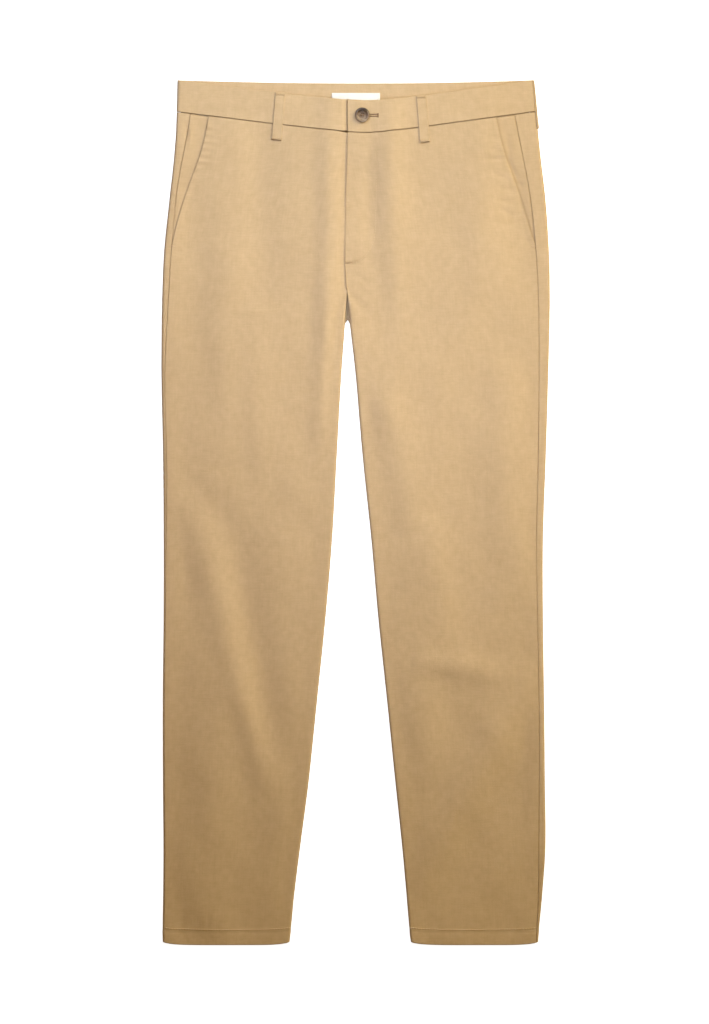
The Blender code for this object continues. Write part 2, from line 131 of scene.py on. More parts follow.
@dataclass(frozen=True)
class Run:
    """A size that changes along the garment: (up from the hem, value) stations."""

    stations: tuple[tuple[float, float], ...]

    def at(self, up: Array) -> Array:
        """The value at a height: cubics, with slopes taken between neighbouring stations.

        Args:
            up: Heights above the hem.

        Returns:
            The value at each height.
        """
        ys, values = np.array(self.stations).T
        low = np.maximum(np.arange(len(ys)) - 1, 0)
        high = np.minimum(np.arange(len(ys)) + 1, len(ys) - 1)
        slope = (values[high] - values[low]) / (ys[high] - ys[low])
        up = np.clip(up, ys[0], ys[-1])
        k = np.clip(np.searchsorted(ys, up, side="right") - 1, 0, len(ys) - 2)
        span = ys[k + 1] - ys[k]
        t = (up - ys[k]) / span
        ease = t * t * (3.0 - 2.0 * t)
        bends = t * (1.0 - t) ** 2 * slope[k] + t * t * (t - 1.0) * slope[k + 1]
        return values[k] + (values[k + 1] - values[k]) * ease + span * bends


class Fold(NamedTuple):
    """A soft trough (negative lift) or ridge: a bell across its line, fading to both ends."""

    name: str
    x0: float
    y0: float
    x1: float
    y1: float
    half_width: float
    lift: float


def fold_lift(x: Array, y: Array, folds: tuple[Fold, ...]) -> Array:
    """The height that the folds add at each point: each is a bell across its own line.

    Args:
        x: Places across.
        y: Places up.
        folds: The troughs and ridges.

    Returns:
        The sum of their heights.
    """
    total = np.zeros(np.broadcast(x, y).shape)
    for fold in folds:
        along = np.array((fold.x1 - fold.x0, fold.y1 - fold.y0))
        share = ((x - fold.x0) * along[0] + (y - fold.y0) * along[1]) / (along @ along)
        near = np.clip(share, 0.0, 1.0)
        away = np.hypot(x - fold.x0 - near * along[0], y - fold.y0 - near * along[1])
        fade = (4.0 * near * (1.0 - near)) ** 0.6
        total = total + fold.lift * fade * bell(away / fold.half_width)
    return total


def spaced(start: Array, end: Array, count: int, edges: tuple[float, ...]) -> Array:
    """Places from start to end, close together at both ends and even between them.

    Args:
        start: First place in each row.
        end: Last place in each row.
        count: How many even places lie between the close ones.
        edges: Distances of the close places from each end, from 0 up.

    Returns:
        One row of places for each start.
    """
    edge = np.array(edges)
    middle = np.linspace(0.0, 1.0, count + 2)[1:-1]
    start, end = np.atleast_1d(start)[:, None], np.atleast_1d(end)[:, None]
    inside = start + edge[-1] + (end - start - 2 * edge[-1]) * middle
    return np.concatenate([start + edge, inside, end - edge[::-1]], axis=1)


# -------------------- the laid shape
@dataclass
class Section:
    """The ring's sizes at each row: distances along the cloth run from the outer fold's tip."""

    outer: Array
    width: Array
    radius: Array
    fork: Array

    @property
    def quarter(self) -> Array:
        """Cloth length from a fold's tip to where it lies flat."""
        return math.pi * self.radius / 2.0

    @property
    def flat(self) -> Array:
        """Cloth length of the flat stretch."""
        return self.width - 2.0 * self.radius

    @property
    def whole(self) -> Array:
        """Cloth length of one layer, from fold tip to fold tip."""
        return 2.0 * self.quarter + self.flat

    def at_inset(self, inset: Array) -> Array:
        """Cloth distance of a point seen this far in from the outline.

        Args:
            inset: Distances in from the outline, seen from above.

        Returns:
            Distances along the cloth from the fold's tip.
        """
        turn = np.arccos(np.clip(1.0 - inset / self.radius, -1.0, 1.0))
        past = self.quarter + inset - self.radius
        return np.where(inset >= self.radius, past, self.radius * turn)


@dataclass
class LaidCloth:
    """Where every point of the laid garment lies."""

    legs: dict[str, Run] = field(
        default_factory=lambda: {
            "right_outer": Run(
                (
                    *((0, -236.0), (20, -236.4), (60, -235.8), (120, -235.4), (200, -236.0)),
                    *((300, -236.2), (400, -235.2), (500, -235.0), (600, -235.8)),
                    *((700, -237.8), (762, -237.6)),
                )
            ),
            "right_inner": Run(
                (
                    *((0, -80.6), (20, -78.4), (60, -74.8), (120, -67.4), (200, -57.0)),
                    *((300, -46.6), (400, -36.4), (500, -28.0), (600, -22.4)),
                    *((700, -16.8), (762, -12.3)),
                )
            ),
            "left_inner": Run(
                (
                    *((0, 68.8), (20, 66.6), (60, 63.4), (120, 58.0), (200, 49.6)),
                    *((300, 39.4), (400, 28.8), (500, 19.9), (600, 9.4), (700, 0.8), (762, -6.2)),
                )
            ),
            "left_outer": Run(
                (
                    *((0, 224.8), (20, 226.4), (60, 230.0), (120, 234.0), (200, 233.4)),
                    *((300, 232.4), (400, 231.0), (500, 231.0), (600, 234.4)),
                    *((700, 237.4), (762, 239.0)),
                )
            ),
        }
    )
    hips: dict[Side, Run] = field(
        default_factory=lambda: {
            Side.RIGHT: Run(
                (
                    *((762, -237.6), (800, -236.8), (854, -234.4), (916, -228.0)),
                    *((977, -221.4), (1024, -218.8), (LENGTH, -217.8)),
                )
            ),
            Side.LEFT: Run(
                (
                    *((762, 239.0), (800, 239.4), (854, 238.2), (916, 234.0)),
                    *((977, 227.0), (1024, 222.4), (LENGTH, 218.8)),
                )
            ),
        }
    )
    seam_inset: dict[Side, Run] = field(
        default_factory=lambda: {
            Side.RIGHT: Run(
                (
                    *((0, 1.6), (60, 1.6), (120, 1.6), (240, 1.6), (420, 2.0), (590, 4.2)),
                    *((700, 4.0), (790, 7.6), (860, 8.7), (940, 8.4), (1024, 16.4)),
                )
            ),
            Side.LEFT: Run(
                (
                    *((0, 2.2), (60, 5.0), (120, 8.4), (240, 6.6), (420, 7.0), (590, 9.3)),
                    *((700, 11.4), (790, 14.0), (860, 16.3), (940, 19.6), (1024, 26.4)),
                )
            ),
        }
    )
    pocket_inset: dict[Side, Run] = field(
        default_factory=lambda: {
            Side.RIGHT: Run(((860, 8.7), (896, 13.6), (936, 22.0), (980, 32.4), (1024, 39.0))),
            Side.LEFT: Run(((860, 16.3), (896, 25.3), (936, 33.7), (980, 43.4), (1024, 48.8))),
        }
    )
    stack: Run = Run(((0, 5.0), (120, 5.5), (400, 5.9), (762, 6.2), (900, 6.3), (LENGTH, 6.5)))
    fly_line: Run = Run(
        (
            *((762, -9.2), (FORK_TOP, -10.0), (840, -11.4), (916, -10.7)),
            *((1000, -8.7), (LENGTH, -8.6)),
        )
    )
    back_line: Run = Run(((762, -9.2), (FORK_TOP, -8.6), (LENGTH, 1.2)))
    folds: tuple[Fold, ...] = (
        Fold("ridge beside the fly", -31, 1080, -34, 720, 14, 3.2),
        Fold("ridge down the inner thigh", -34, 840, -42, 570, 15, 2.4),
        Fold("right hip trough", -118, 1030, -112, 780, 26, -2.9),
        Fold("right hip hollow", -196, 960, -192, 740, 26, -1.7),
        Fold("right thigh ridge", -166, 870, -158, 590, 21, 2.3),
        Fold("right thigh streak", -126, 800, -118, 540, 17, 1.6),
        Fold("right knee ridge", -204, 560, -108, 180, 21, 2.8),
        Fold("right knee peak", -146, 340, -108, 190, 14, 1.3),
        Fold("right knee trough", -166, 560, -78, 180, 22, -2.7),
        Fold("right calf edge", -176, 380, -184, 10, 34, 3.2),
        Fold("right shin", -84, 400, -92, 60, 26, 1.6),
        Fold("fly hollow", 18, 1060, 20, 830, 11, -1.5),
        Fold("left hip ridge", 44, 1060, 50, 780, 16, 2.6),
        Fold("left inner thigh", 30, 850, 36, 670, 17, -2.0),
        Fold("left thigh ridge", 24, 760, 86, 440, 24, 3.7),
        Fold("left hip trough", 94, 1010, 90, 720, 25, -1.3),
        Fold("left pocket ridge", 158, 1060, 152, 760, 25, 2.9),
        Fold("left outer thigh", 182, 720, 194, 410, 28, 3.4),
        Fold("left knee ridge", 94, 530, 112, 330, 21, 2.3),
        Fold("left knee step", 70, 350, 196, 330, 18, 2.2),
        Fold("left inner knee", 66, 500, 88, 190, 24, 2.7),
        Fold("left calf ridge", 74, 56, 216, 352, 25, 3.7),
        Fold("left calf hollow", 104, 40, 236, 270, 25, -1.6),
    )
    creases: tuple[Fold, ...] = (
        Fold("crotch whisker", -2, 826, 16, 812, 3.0, -0.35),
        Fold("crotch whisker", 0, 812, 22, 792, 3.5, -0.3),
        Fold("inner thigh crease", -26, 778, -16, 764, 3.0, -0.5),
        Fold("inner thigh crease", -34, 770, -20, 752, 3.5, -0.35),
        Fold("crotch whisker", -4, 800, 20, 776, 4.0, -0.4),
        Fold("crotch whisker", -30, 800, -18, 782, 3.4, -0.3),
        Fold("press line", -196, 489, -44, 489, 4.0, -0.22),
        Fold("fly top crease", -6, 984, 8, 983, 3.0, -0.3),
        Fold("fly top crease", -6, 961, 6, 960, 2.6, -0.3),
        Fold("pocket top crease", -181, 1013, -172, 1012, 2.6, -0.68),
        Fold("left pocket pull", 160, 991, 178, 993, 3.0, -0.59),
        Fold("left pocket pull", 160, 976, 179, 978, 3.0, -0.59),
        Fold("left pocket pull", 152, 967, 186, 964, 3.4, -0.85),
        Fold("left pocket pull", 168, 948, 190, 940, 3.2, -0.68),
        Fold("left pocket pull", 176, 930, 198, 927, 3.0, -0.59),
        Fold("left pocket pull", 172, 916, 198, 911, 3.0, -0.68),
        Fold("left pocket pull", 176, 907, 194, 895, 3.2, -0.68),
        Fold("left pocket pull", 184, 893, 208, 900, 3.4, -0.68),
        Fold("left pocket pull", 180, 881, 208, 891, 3.6, -0.77),
        Fold("left pocket foot", 206, 868, 220, 858, 3.0, -0.68),
        Fold("right pocket foot", -224, 848, -212, 854, 3.0, -0.59),
        Fold("right facing hollow", -208, 1014, -206, 985, 3.0, -0.77),
        Fold("right facing ridge", -201, 1012, -203, 975, 3.0, 0.59),
        Fold("left facing hollow", 186, 1000, 190, 960, 4.0, -0.68),
        Fold("left facing crease", 186, 968, 200, 940, 3.4, -1.02),
        Fold("left facing crease", 196, 938, 206, 934, 3.0, -0.85),
        Fold("left facing crease", 200, 925, 208, 890, 3.0, -0.77),
    )
    under_folds: tuple[Fold, ...] = (
        Fold("seat hollow", -120, 960, -40, 840, 30, 0.5),
        Fold("seat hollow", 118, 950, 44, 836, 28, 0.5),
        Fold("under the right knee", -190, 470, -70, 440, 16, 0.5),
        Fold("under the left knee", 70, 455, 200, 480, 18, 0.5),
        Fold("right calf", -160, 330, -120, 180, 20, 0.4),
        Fold("left calf", 150, 320, 110, 170, 20, 0.4),
    )
    mid_sag: float = 0.8
    roll_fade: float = 26.0
    loop_lift: float = 1.5
    lift_start: float = 925.0
    lift_run: float = 55.0
    lap_height: float = 2.4
    lap_x: float = 9.0
    lap_spread: float = 45.0
    lap_start: float = 945.0
    half_waist: float = 223.0
    dip_x: float = 13.0
    dip_round: float = 0.1
    front_dip: float = 26.0
    back_dip: float = 4.0
    waist_pull: float = 890.0
    hem_corner: float = 3.5
    hem_pull: float = 60.0
    crease_fade: float = 9.0
    pocket_foot: float = 860.0
    ripple_seed: int = 5
    ripple_waves: int = 30
    ripple_height: float = 0.045

    def outer(self, side: Side, up: Array) -> Array:
        """The outline's x at each height."""
        leg = self.legs[side.word + "_outer"].at(up)
        return np.where(up < CROTCH, leg, self.hips[side].at(up))

    def inner(self, side: Side, up: Array, front: bool) -> Array:
        """The inner fold of a leg, and above the crotch the centre seam.

        Args:
            side: Which half.
            up: Heights above the hem.
            front: The front's centre seam, or the back's.

        Returns:
            The x at each height.
        """
        leg = self.legs[side.word + "_inner"].at(np.minimum(up, CROTCH))
        centre = (self.fly_line if front else self.back_line).at(up) + side.value * GAP / 2
        return centre + (leg - centre) * self.fork(up, front)

    def fork(self, up: Array, front: bool) -> Array:
        """1 where the inner edge rolls into a leg's fold, 0 where it lies flat at the centre."""
        top = FORK_TOP if front else BACK_FORK_TOP
        return 1.0 - smooth((up - CROTCH) / (top - CROTCH))

    def section(self, side: Side, up: Array, front: bool) -> Section:
        """The ring's sizes at each height.

        Args:
            side: Which half.
            up: Heights above the hem.
            front: The front's ring, or the back's.

        Returns:
            The section.
        """
        outer = self.outer(side, up)
        width = np.abs(self.inner(side, up, front) - outer)
        return Section(outer, width, self.stack.at(up) / 2.0, self.fork(up, front))

    def base(self, y: Array) -> Array:
        """The underside: on the surface, and held off it by the loops at the waist."""
        return self.loop_lift * smooth((y - self.lift_start) / self.lift_run)

    def lap_rise(self, x: Array, y: Array) -> Array:
        """Extra height where the waistband's ends and the fly lap."""
        across = bell((x - self.lap_x) / self.lap_spread)
        return self.lap_height * across * smooth((y - self.lap_start) / self.lift_run)

    def ripple(self, x: Array, y: Array) -> Array:
        """The faint unevenness of loose cloth: a sum of weak waves in seeded directions.

        Args:
            x: Places across.
            y: Places up.

        Returns:
            The height that the waves add.
        """
        chance = np.random.default_rng(self.ripple_seed)
        total = np.zeros(np.broadcast(x, y).shape)
        for _ in range(self.ripple_waves):
            length = chance.uniform(14.0, 95.0)
            turn, phase = chance.normal(0.0, 0.6), chance.uniform(0.0, math.tau)
            wave = np.sin((x * math.cos(turn) + y * math.sin(turn)) * math.tau / length + phase)
            total = total + wave * self.ripple_height * (length / 45.0) ** 1.2
        return total

    def seam_y(self, x: Array, top_share: Array) -> Array:
        """The waistband's lower edge: the front dips in the middle, the back hardly at all.

        Args:
            x: Places across.
            top_share: 1 on the front, 0 on the back, between them round the outer fold.

        Returns:
            The height of the edge.
        """
        reach = self.half_waist - np.copysign(self.dip_x, x - self.dip_x)
        out = np.minimum(np.abs(x - self.dip_x) / reach, 1.0)
        bend = self.dip_round
        rise = (np.hypot(out, bend) - bend) / (math.hypot(1.0, bend) - bend)
        front = WAIST_SEAM - self.front_dip * (1.0 - rise)
        back = WAIST_SEAM - self.back_dip * (1.0 - out**2)
        return back + (front - back) * top_share

    def settle(self, x: Array, row: Array, top_share: Array, mid_share: Array) -> Array:
        """The true y of a row: it follows the waist seam, and below the hem's raised corners.

        Args:
            x: Places across.
            row: Heights of the rows.
            top_share: 1 on the front, 0 on the back.
            mid_share: 0 in the middle of the leg, 1 and -1 at its folds.

        Returns:
            The y of each point.
        """
        near_waist = smooth((row - self.waist_pull) / (WAIST_SEAM - self.waist_pull))
        waist = (self.seam_y(x, top_share) - WAIST_SEAM) * near_waist
        hem = self.hem_corner * np.abs(mid_share) ** 6 * (1.0 - smooth(row / self.hem_pull))
        return row + waist + hem

    def point(self, side: Side, row: Array, u: Array, front: bool) -> Array:
        """The cloth's outer face, before its small relief.

        The ring is a quarter turn at the outer fold, a flat stretch and a quarter turn at the
        inner fold. u is the distance along it from the outer fold's tip: above zero over the
        top, below zero underneath.

        Args:
            side: Which half.
            row: Heights of the rows, as a column.
            u: Distances along the ring, one row for each height.
            front: The front's section, or the back's.

        Returns:
            Points, in millimetres.
        """
        section = self.section(side, row, front)
        far = np.abs(u)
        angle = np.minimum(far / section.radius, math.pi / 2)
        roll = np.sin(angle)
        turn = np.clip((far - section.quarter - section.flat) / section.radius, 0, math.pi / 2)
        lying = np.clip(far - section.quarter, 0.0, section.flat)
        inset = section.radius * (1.0 - np.cos(angle) + np.sin(turn)) + lying
        drop = section.fork * section.radius * (1.0 - np.cos(turn))
        over = u >= 0.0
        x = section.outer - side.value * inset
        mid_share = 1.0 - 2.0 * inset / section.width
        y = self.settle(x, row, 0.5 + np.where(over, 0.5, -0.5) * roll, mid_share)
        from_edge = np.minimum(
            inset - section.radius, (section.width - inset) / np.maximum(section.fork, 0.001)
        )
        loose = smooth(from_edge / self.roll_fade)
        small = smooth(from_edge / self.crease_fade)
        relief = fold_lift(x, y, self.folds) - self.mid_sag + self.ripple(x, y)
        top = relief * loose + fold_lift(x, y, self.creases) * small + self.lap_rise(x, y) * roll
        under = fold_lift(x, y, self.under_folds) * loose + 0.15 * loose
        level = self.base(y) + section.radius
        z = np.where(
            over,
            level + section.radius * roll - drop + top,
            level - section.radius * roll + drop + under,
        )
        return np.stack(np.broadcast_arrays(x, y, z), axis=-1)

    def lapped(self, x: Array, row: Array, depth: Array, back_off: Array) -> Array:
        """The middle of the top layer, sunk to lie under the other half's end.

        Args:
            x: Places across.
            row: Heights of the rows.
            depth: How far the cloth is sunk.
            back_off: How far it is moved up, clear of the seam above or below.

        Returns:
            Points, in millimetres.
        """
        y = self.settle(x, row, 1.0, 0.0)
        relief = fold_lift(x, y, self.folds + self.creases) - self.mid_sag + self.ripple(x, y)
        z = self.base(y) + self.stack.at(row) + relief + self.lap_rise(x, y) - depth
        return np.stack(np.broadcast_arrays(x, y + back_off, z), axis=-1)

    def seam(self, side: Side, row: Array, front: bool) -> Array:
        """Cloth distance of the side seam, which lies on top."""
        return self.section(side, row, front).at_inset(self.seam_inset[side].at(row))

    def front_start(self, side: Side, row: Array) -> Array:
        """Where a front begins: at the side seam, and higher up at the slanted pocket edge.

        Args:
            side: Which half.
            row: Heights of the rows.

        Returns:
            Distances along the cloth.
        """
        inset = self.seam_inset[side].at(row)
        pocket = self.pocket_inset[side].at(row)
        inset = np.where(row > self.pocket_foot, np.maximum(inset, pocket), inset)
        return self.section(side, row, True).at_inset(inset) + SEAM_HALF


def normals(points: Array, side: Side) -> Array:
    """Outward directions on a grid laid by rows and distance: the cross product of its slopes.

    Args:
        points: The grid.
        side: The side whose distances run inwards from its outer fold.

    Returns:
        A unit vector at each point.
    """
    across = np.gradient(points, axis=1)
    along = np.gradient(points, axis=0)
    up = np.cross(across, along) * -side.value
    return up / np.maximum(np.linalg.norm(up, axis=-1, keepdims=True), 1e-9)


def rounded(distance: Array, radius: float | Array) -> Array:
    """How far a rounded edge falls: a quarter circle of this radius, nothing further in."""
    inside = np.clip(1.0 - distance / radius, 0.0, 1.0)
    return radius * (1.0 - np.sqrt(1.0 - inside * inside * 0.98))


class Gathers(NamedTuple):
    """Short gathers beside a seam: how far apart, how far they run, and the tallest's height."""

    pitch: float
    reach: float
    depth: float


def puckers(along: Array, away: Array, gathers: Gathers) -> Array:
    """The relief of gathers: waves of uneven pitch along a seam, dying away from it.

    Args:
        along: Distance along the seam.
        away: Distance from the seam.
        gathers: Their sizes.

    Returns:
        The height that they add.
    """
    turns = along * math.tau / gathers.pitch
    phase = turns + 1.7 * np.sin(along / 23.0) + 0.9 * np.sin(along / 9.7)
    strength = 0.55 + 0.45 * np.sin(along / 31.0 + 1.3)
    reach = gathers.reach * (0.8 + 0.4 * np.sin(along / 17.0))
    return gathers.depth * strength * np.sin(phase) * bell(away / reach) * smooth(away / 1.2)


def line(away: Array, shade: Array | float, half_width: float = 0.7) -> Array:
    """A bell across a seam or an edge: full strength on it, falling away on both sides; most often the
    shade painted along that seam or edge.
    """
    return bell(away / half_width) * shade


def darkest(*marks: Array) -> Array:
    """The strongest of several painted shades at each point."""
    return reduce(np.maximum, marks)


# -------------------- meshes
def to_frame(points: Array) -> Array:
    """Millimetres up from the hem, as metres about the frame's origin."""
    return (points - np.array((MIDDLE, LENGTH / 2.0, 0.0))) * MM


def solid_box(node: str) -> tuple[Array, Array]:
    """A node's lowest and highest corner, in the garment's millimetres.

    Args:
        node: The solid's name.

    Returns:
        The two corners.
    """
    low, high = (np.array(corner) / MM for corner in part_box(node))
    shift = np.array((MIDDLE, LENGTH / 2.0, 0.0))
    return low + shift, high + shift


@dataclass
class Form:
    """Points in millimetres, faces, and what a finish reads at each point."""

    points: Array
    faces: Array
    weave: Array
    # strength of the shade painted into the colour at each point
    seam: Array


def grid_faces(rows: int, columns: int, closed: bool = False) -> Array:
    """Four-cornered faces of a grid, whose last column may meet its first.

    Args:
        rows: Its number of rows.
        columns: Its number of columns.
        closed: Whether the last column meets the first.

    Returns:
        Four point numbers for each face.
    """
    corner = np.arange(rows * columns).reshape(rows, columns)
    if closed:
        corner = np.concatenate([corner, corner[:, :1]], axis=1)
    corners = (corner[:-1, :-1], corner[:-1, 1:], corner[1:, 1:], corner[1:, :-1])
    return np.stack(corners, axis=-1).reshape(-1, 4)


def facing_out(points: Array, faces: Array) -> Array:
    """The faces, all turned over if the closed form's volume comes out negative.

    Args:
        points: The form's points.
        faces: Its four-cornered faces, which all turn the same way.

    Returns:
        Faces that turn outwards.
    """
    a, b, c, d = (points[faces[:, i]] for i in range(4))
    volume = (a * np.cross(b, c)).sum() + (a * np.cross(c, d)).sum()
    return faces if volume > 0 else faces[:, ::-1]


def shell(middle: Array, normal: Array, outer: Array, inner: Array, seam: Array) -> Form:
    """A closed wall of cloth: outer face, inner face and the rim between them.

    Args:
        middle: The laid surface, as a grid.
        normal: Its outward directions.
        outer: How far the outer face stands out from it.
        inner: How far the inner face lies inside it.
        seam: Strength of the shade painted into the colour at seams, edges and gaps: 0 where none is
            painted.

    Returns:
        The wall.
    """
    rows, columns = middle.shape[:2]
    skin = middle + normal * np.broadcast_to(outer, (rows, columns))[..., None]
    lining = middle - normal * np.broadcast_to(inner, (rows, columns))[..., None]
    across = np.linalg.norm(np.diff(middle, axis=1, prepend=middle[:, :1]), axis=-1).cumsum(1)
    across = across - across[:, columns // 2 : columns // 2 + 1]
    weave = np.stack([across, middle[..., 1]], axis=-1) + np.array(WEAVE_START)
    weave = weave.reshape(-1, 2) * MM
    faces = grid_faces(rows, columns)
    order = np.arange(rows * columns).reshape(rows, columns)
    edge = np.concatenate([order[0, :-1], order[:-1, -1], order[-1, :0:-1], order[:0:-1, 0]])
    following = np.roll(edge, -1)
    size = rows * columns
    rim = np.stack([following, edge, edge + size, following + size], axis=-1)
    points = np.concatenate([skin.reshape(-1, 3), lining.reshape(-1, 3)])
    faces = np.concatenate([faces, faces[:, ::-1] + size, rim])
    shade = np.broadcast_to(seam, (rows, columns)).ravel()
    return Form(
        points, facing_out(points, faces), np.tile(weave, (2, 1)), np.concatenate([shade, shade])
    )


def threads(starts: Array, ends: Array, up: Array, radius: float) -> Form:
    """Short stitches: each a thread arched from start to end, with its ends sunk in the cloth.

    Args:
        starts: Where each stitch leaves the cloth.
        ends: Where it goes back in.
        up: Outward direction at each stitch.
        radius: The thread's radius.

    Returns:
        All the stitches as one form.
    """
    share, thick, arch = np.array(STITCH).T
    thick, arch = radius * thick, radius * arch
    run = ends - starts
    along = run / np.maximum(np.linalg.norm(run, axis=-1, keepdims=True), 1e-9)
    across = np.cross(along, up)
    centre = starts[:, None] + run[:, None] * share[None, :, None] + up[:, None] * arch[None, :, None]
    angle = np.arange(6) * math.tau / 6
    spoke = across[:, None, None] * np.cos(angle)[:, None] + up[:, None, None] * np.sin(angle)[:, None]
    points = centre[:, :, None] + spoke * thick[None, :, None, None]
    one = grid_faces(len(share), len(angle), closed=True)
    size = len(share) * len(angle)
    faces = (one[None] + np.arange(len(starts))[:, None, None] * size).reshape(-1, 4)
    length = np.linalg.norm(run, axis=-1)
    around = np.broadcast_to(angle / math.tau * 0.001, points.shape[:3])
    lengthwise = share[None, :, None] * length[:, None, None] * MM + np.zeros(points.shape[:3])
    flat = points.reshape(-1, 3)
    weave = np.stack([around, lengthwise], axis=-1).reshape(-1, 2)
    return Form(flat, facing_out(flat, faces), weave, np.zeros(len(flat)))


def stitch_line(path: Array, up: Array, length: float = 2.7, gap: float = 0.6) -> tuple[Array, ...]:
    """Even stitches along a path.

    Args:
        path: Points along the seam.
        up: Outward directions there.
        length: Length of a stitch.
        gap: Space between two stitches.

    Returns:
        Starts, ends and outward directions of the stitches.
    """
    steps = np.linalg.norm(np.diff(path, axis=0), axis=-1)
    far = np.concatenate([[0.0], steps.cumsum()])
    begin = np.arange(gap, far[-1] - length, length + gap)

    def at(values: Array, where: Array) -> Array:
        """The values along the path at these distances."""
        return np.stack([np.interp(where, far, values[:, i]) for i in range(3)], axis=-1)

    return at(path, begin), at(path, begin + length), at(up, begin + length / 2)


def tack(centre: Array, along: Array, across: Array, up: Array, count: int) -> tuple[Array, ...]:
    """A bar tack: short threads laid side by side along a line.

    Args:
        centre: Middle of the tack.
        along: Half of its length, as a vector.
        across: Half of its width, as a vector.
        up: Outward direction.
        count: How many threads.

    Returns:
        Starts, ends and outward directions of the threads.
    """
    place = np.linspace(-1.0, 1.0, count)[:, None]
    lean = np.where(np.arange(count)[:, None] % 2, 0.12, -0.12)
    middle = centre + along * place
    return (
        middle - across + along * lean,
        middle + across - along * lean,
        np.tile(up, (count, 1)),
    )


def merged(forms: list[Form]) -> Form:
    """Several forms as one.

    Args:
        forms: The forms.

    Returns:
        One form with all their points and faces.
    """
    starts = np.cumsum([0] + [len(form.points) for form in forms[:-1]])
    faces = [form.faces + start for form, start in zip(forms, starts)]
    return Form(
        np.concatenate([form.points for form in forms]),
        np.concatenate(faces),
        np.concatenate([form.weave for form in forms]),
        np.concatenate([form.seam for form in forms]),
    )


def make_piece(name: str, form: Form, finish: bpy.types.Material) -> bpy.types.Object:
    """Puts a form into the scene as a piece with its place in its mesh.

    Args:
        name: The piece's name.
        form: Its points and faces.
        finish: Its material.

    Returns:
        The piece's object.
    """
    mesh = bpy.data.meshes.new(name)
    mesh.from_pydata(to_frame(form.points).tolist(), [], form.faces.tolist())
    corners = form.faces.ravel()
    mesh.uv_layers.new(name="weave").uv.foreach_set("vector", form.weave[corners].ravel())
    # the seam attribute holds the strength of the shade painted into the cloth's colour
    shade = mesh.attributes.new("seam", "FLOAT", "POINT")
    shade.data.foreach_set("value", form.seam.astype(np.float32))
    welded = bmesh.new()
    welded.from_mesh(mesh)
    bmesh.ops.remove_doubles(welded, verts=welded.verts, dist=1e-7)
    welded.to_mesh(mesh)
    welded.free()
    mesh.shade_smooth()
    mesh.materials.append(finish)
    made = bpy.data.objects.new(name, mesh)
    bpy.context.scene.collection.objects.link(made)
    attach(made, BODY)
    log.info("%s: %d faces", name, len(mesh.polygons))
    return made


def add_sheet(
    name: str,
    node: str,
    form: Form,
    finish: bpy.types.Material,
) -> bpy.types.Object:
    """Adds a panel of cloth in place of its solid.

    Args:
        name: The piece's name.
        node: The solid that it stands for.
        form: Its points and faces.
        finish: Its material.

    Returns:
        The piece.
    """
    piece = make_piece(name, form, finish)
    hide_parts(node)
    return piece


# -------------------- finishes
@dataclass(frozen=True)
class Socket:
    """A node's output that can be used in sums."""

    graph: "Graph"
    out: bpy.types.NodeSocket

    def _math(self, operation: str, first: object, second: object) -> "Socket":
        """One Math node on two values."""
        node = self.graph.node("ShaderNodeMath", {"operation": operation}, {0: first, 1: second})
        return Socket(self.graph, node.outputs[0])

    def __add__(self, other: object) -> "Socket":
        """Sum."""
        return self._math("ADD", self, other)

    def __radd__(self, other: object) -> "Socket":
        """Sum, with the socket second."""
        return self._math("ADD", other, self)

    def __sub__(self, other: object) -> "Socket":
        """Difference."""
        return self._math("SUBTRACT", self, other)

    def __rsub__(self, other: object) -> "Socket":
        """Difference, with the socket second."""
        return self._math("SUBTRACT", other, self)

    def __mul__(self, other: object) -> "Socket":
        """Product."""
        return self._math("MULTIPLY", self, other)

    def __rmul__(self, other: object) -> "Socket":
        """Product, with the socket second."""
        return self._math("MULTIPLY", other, self)


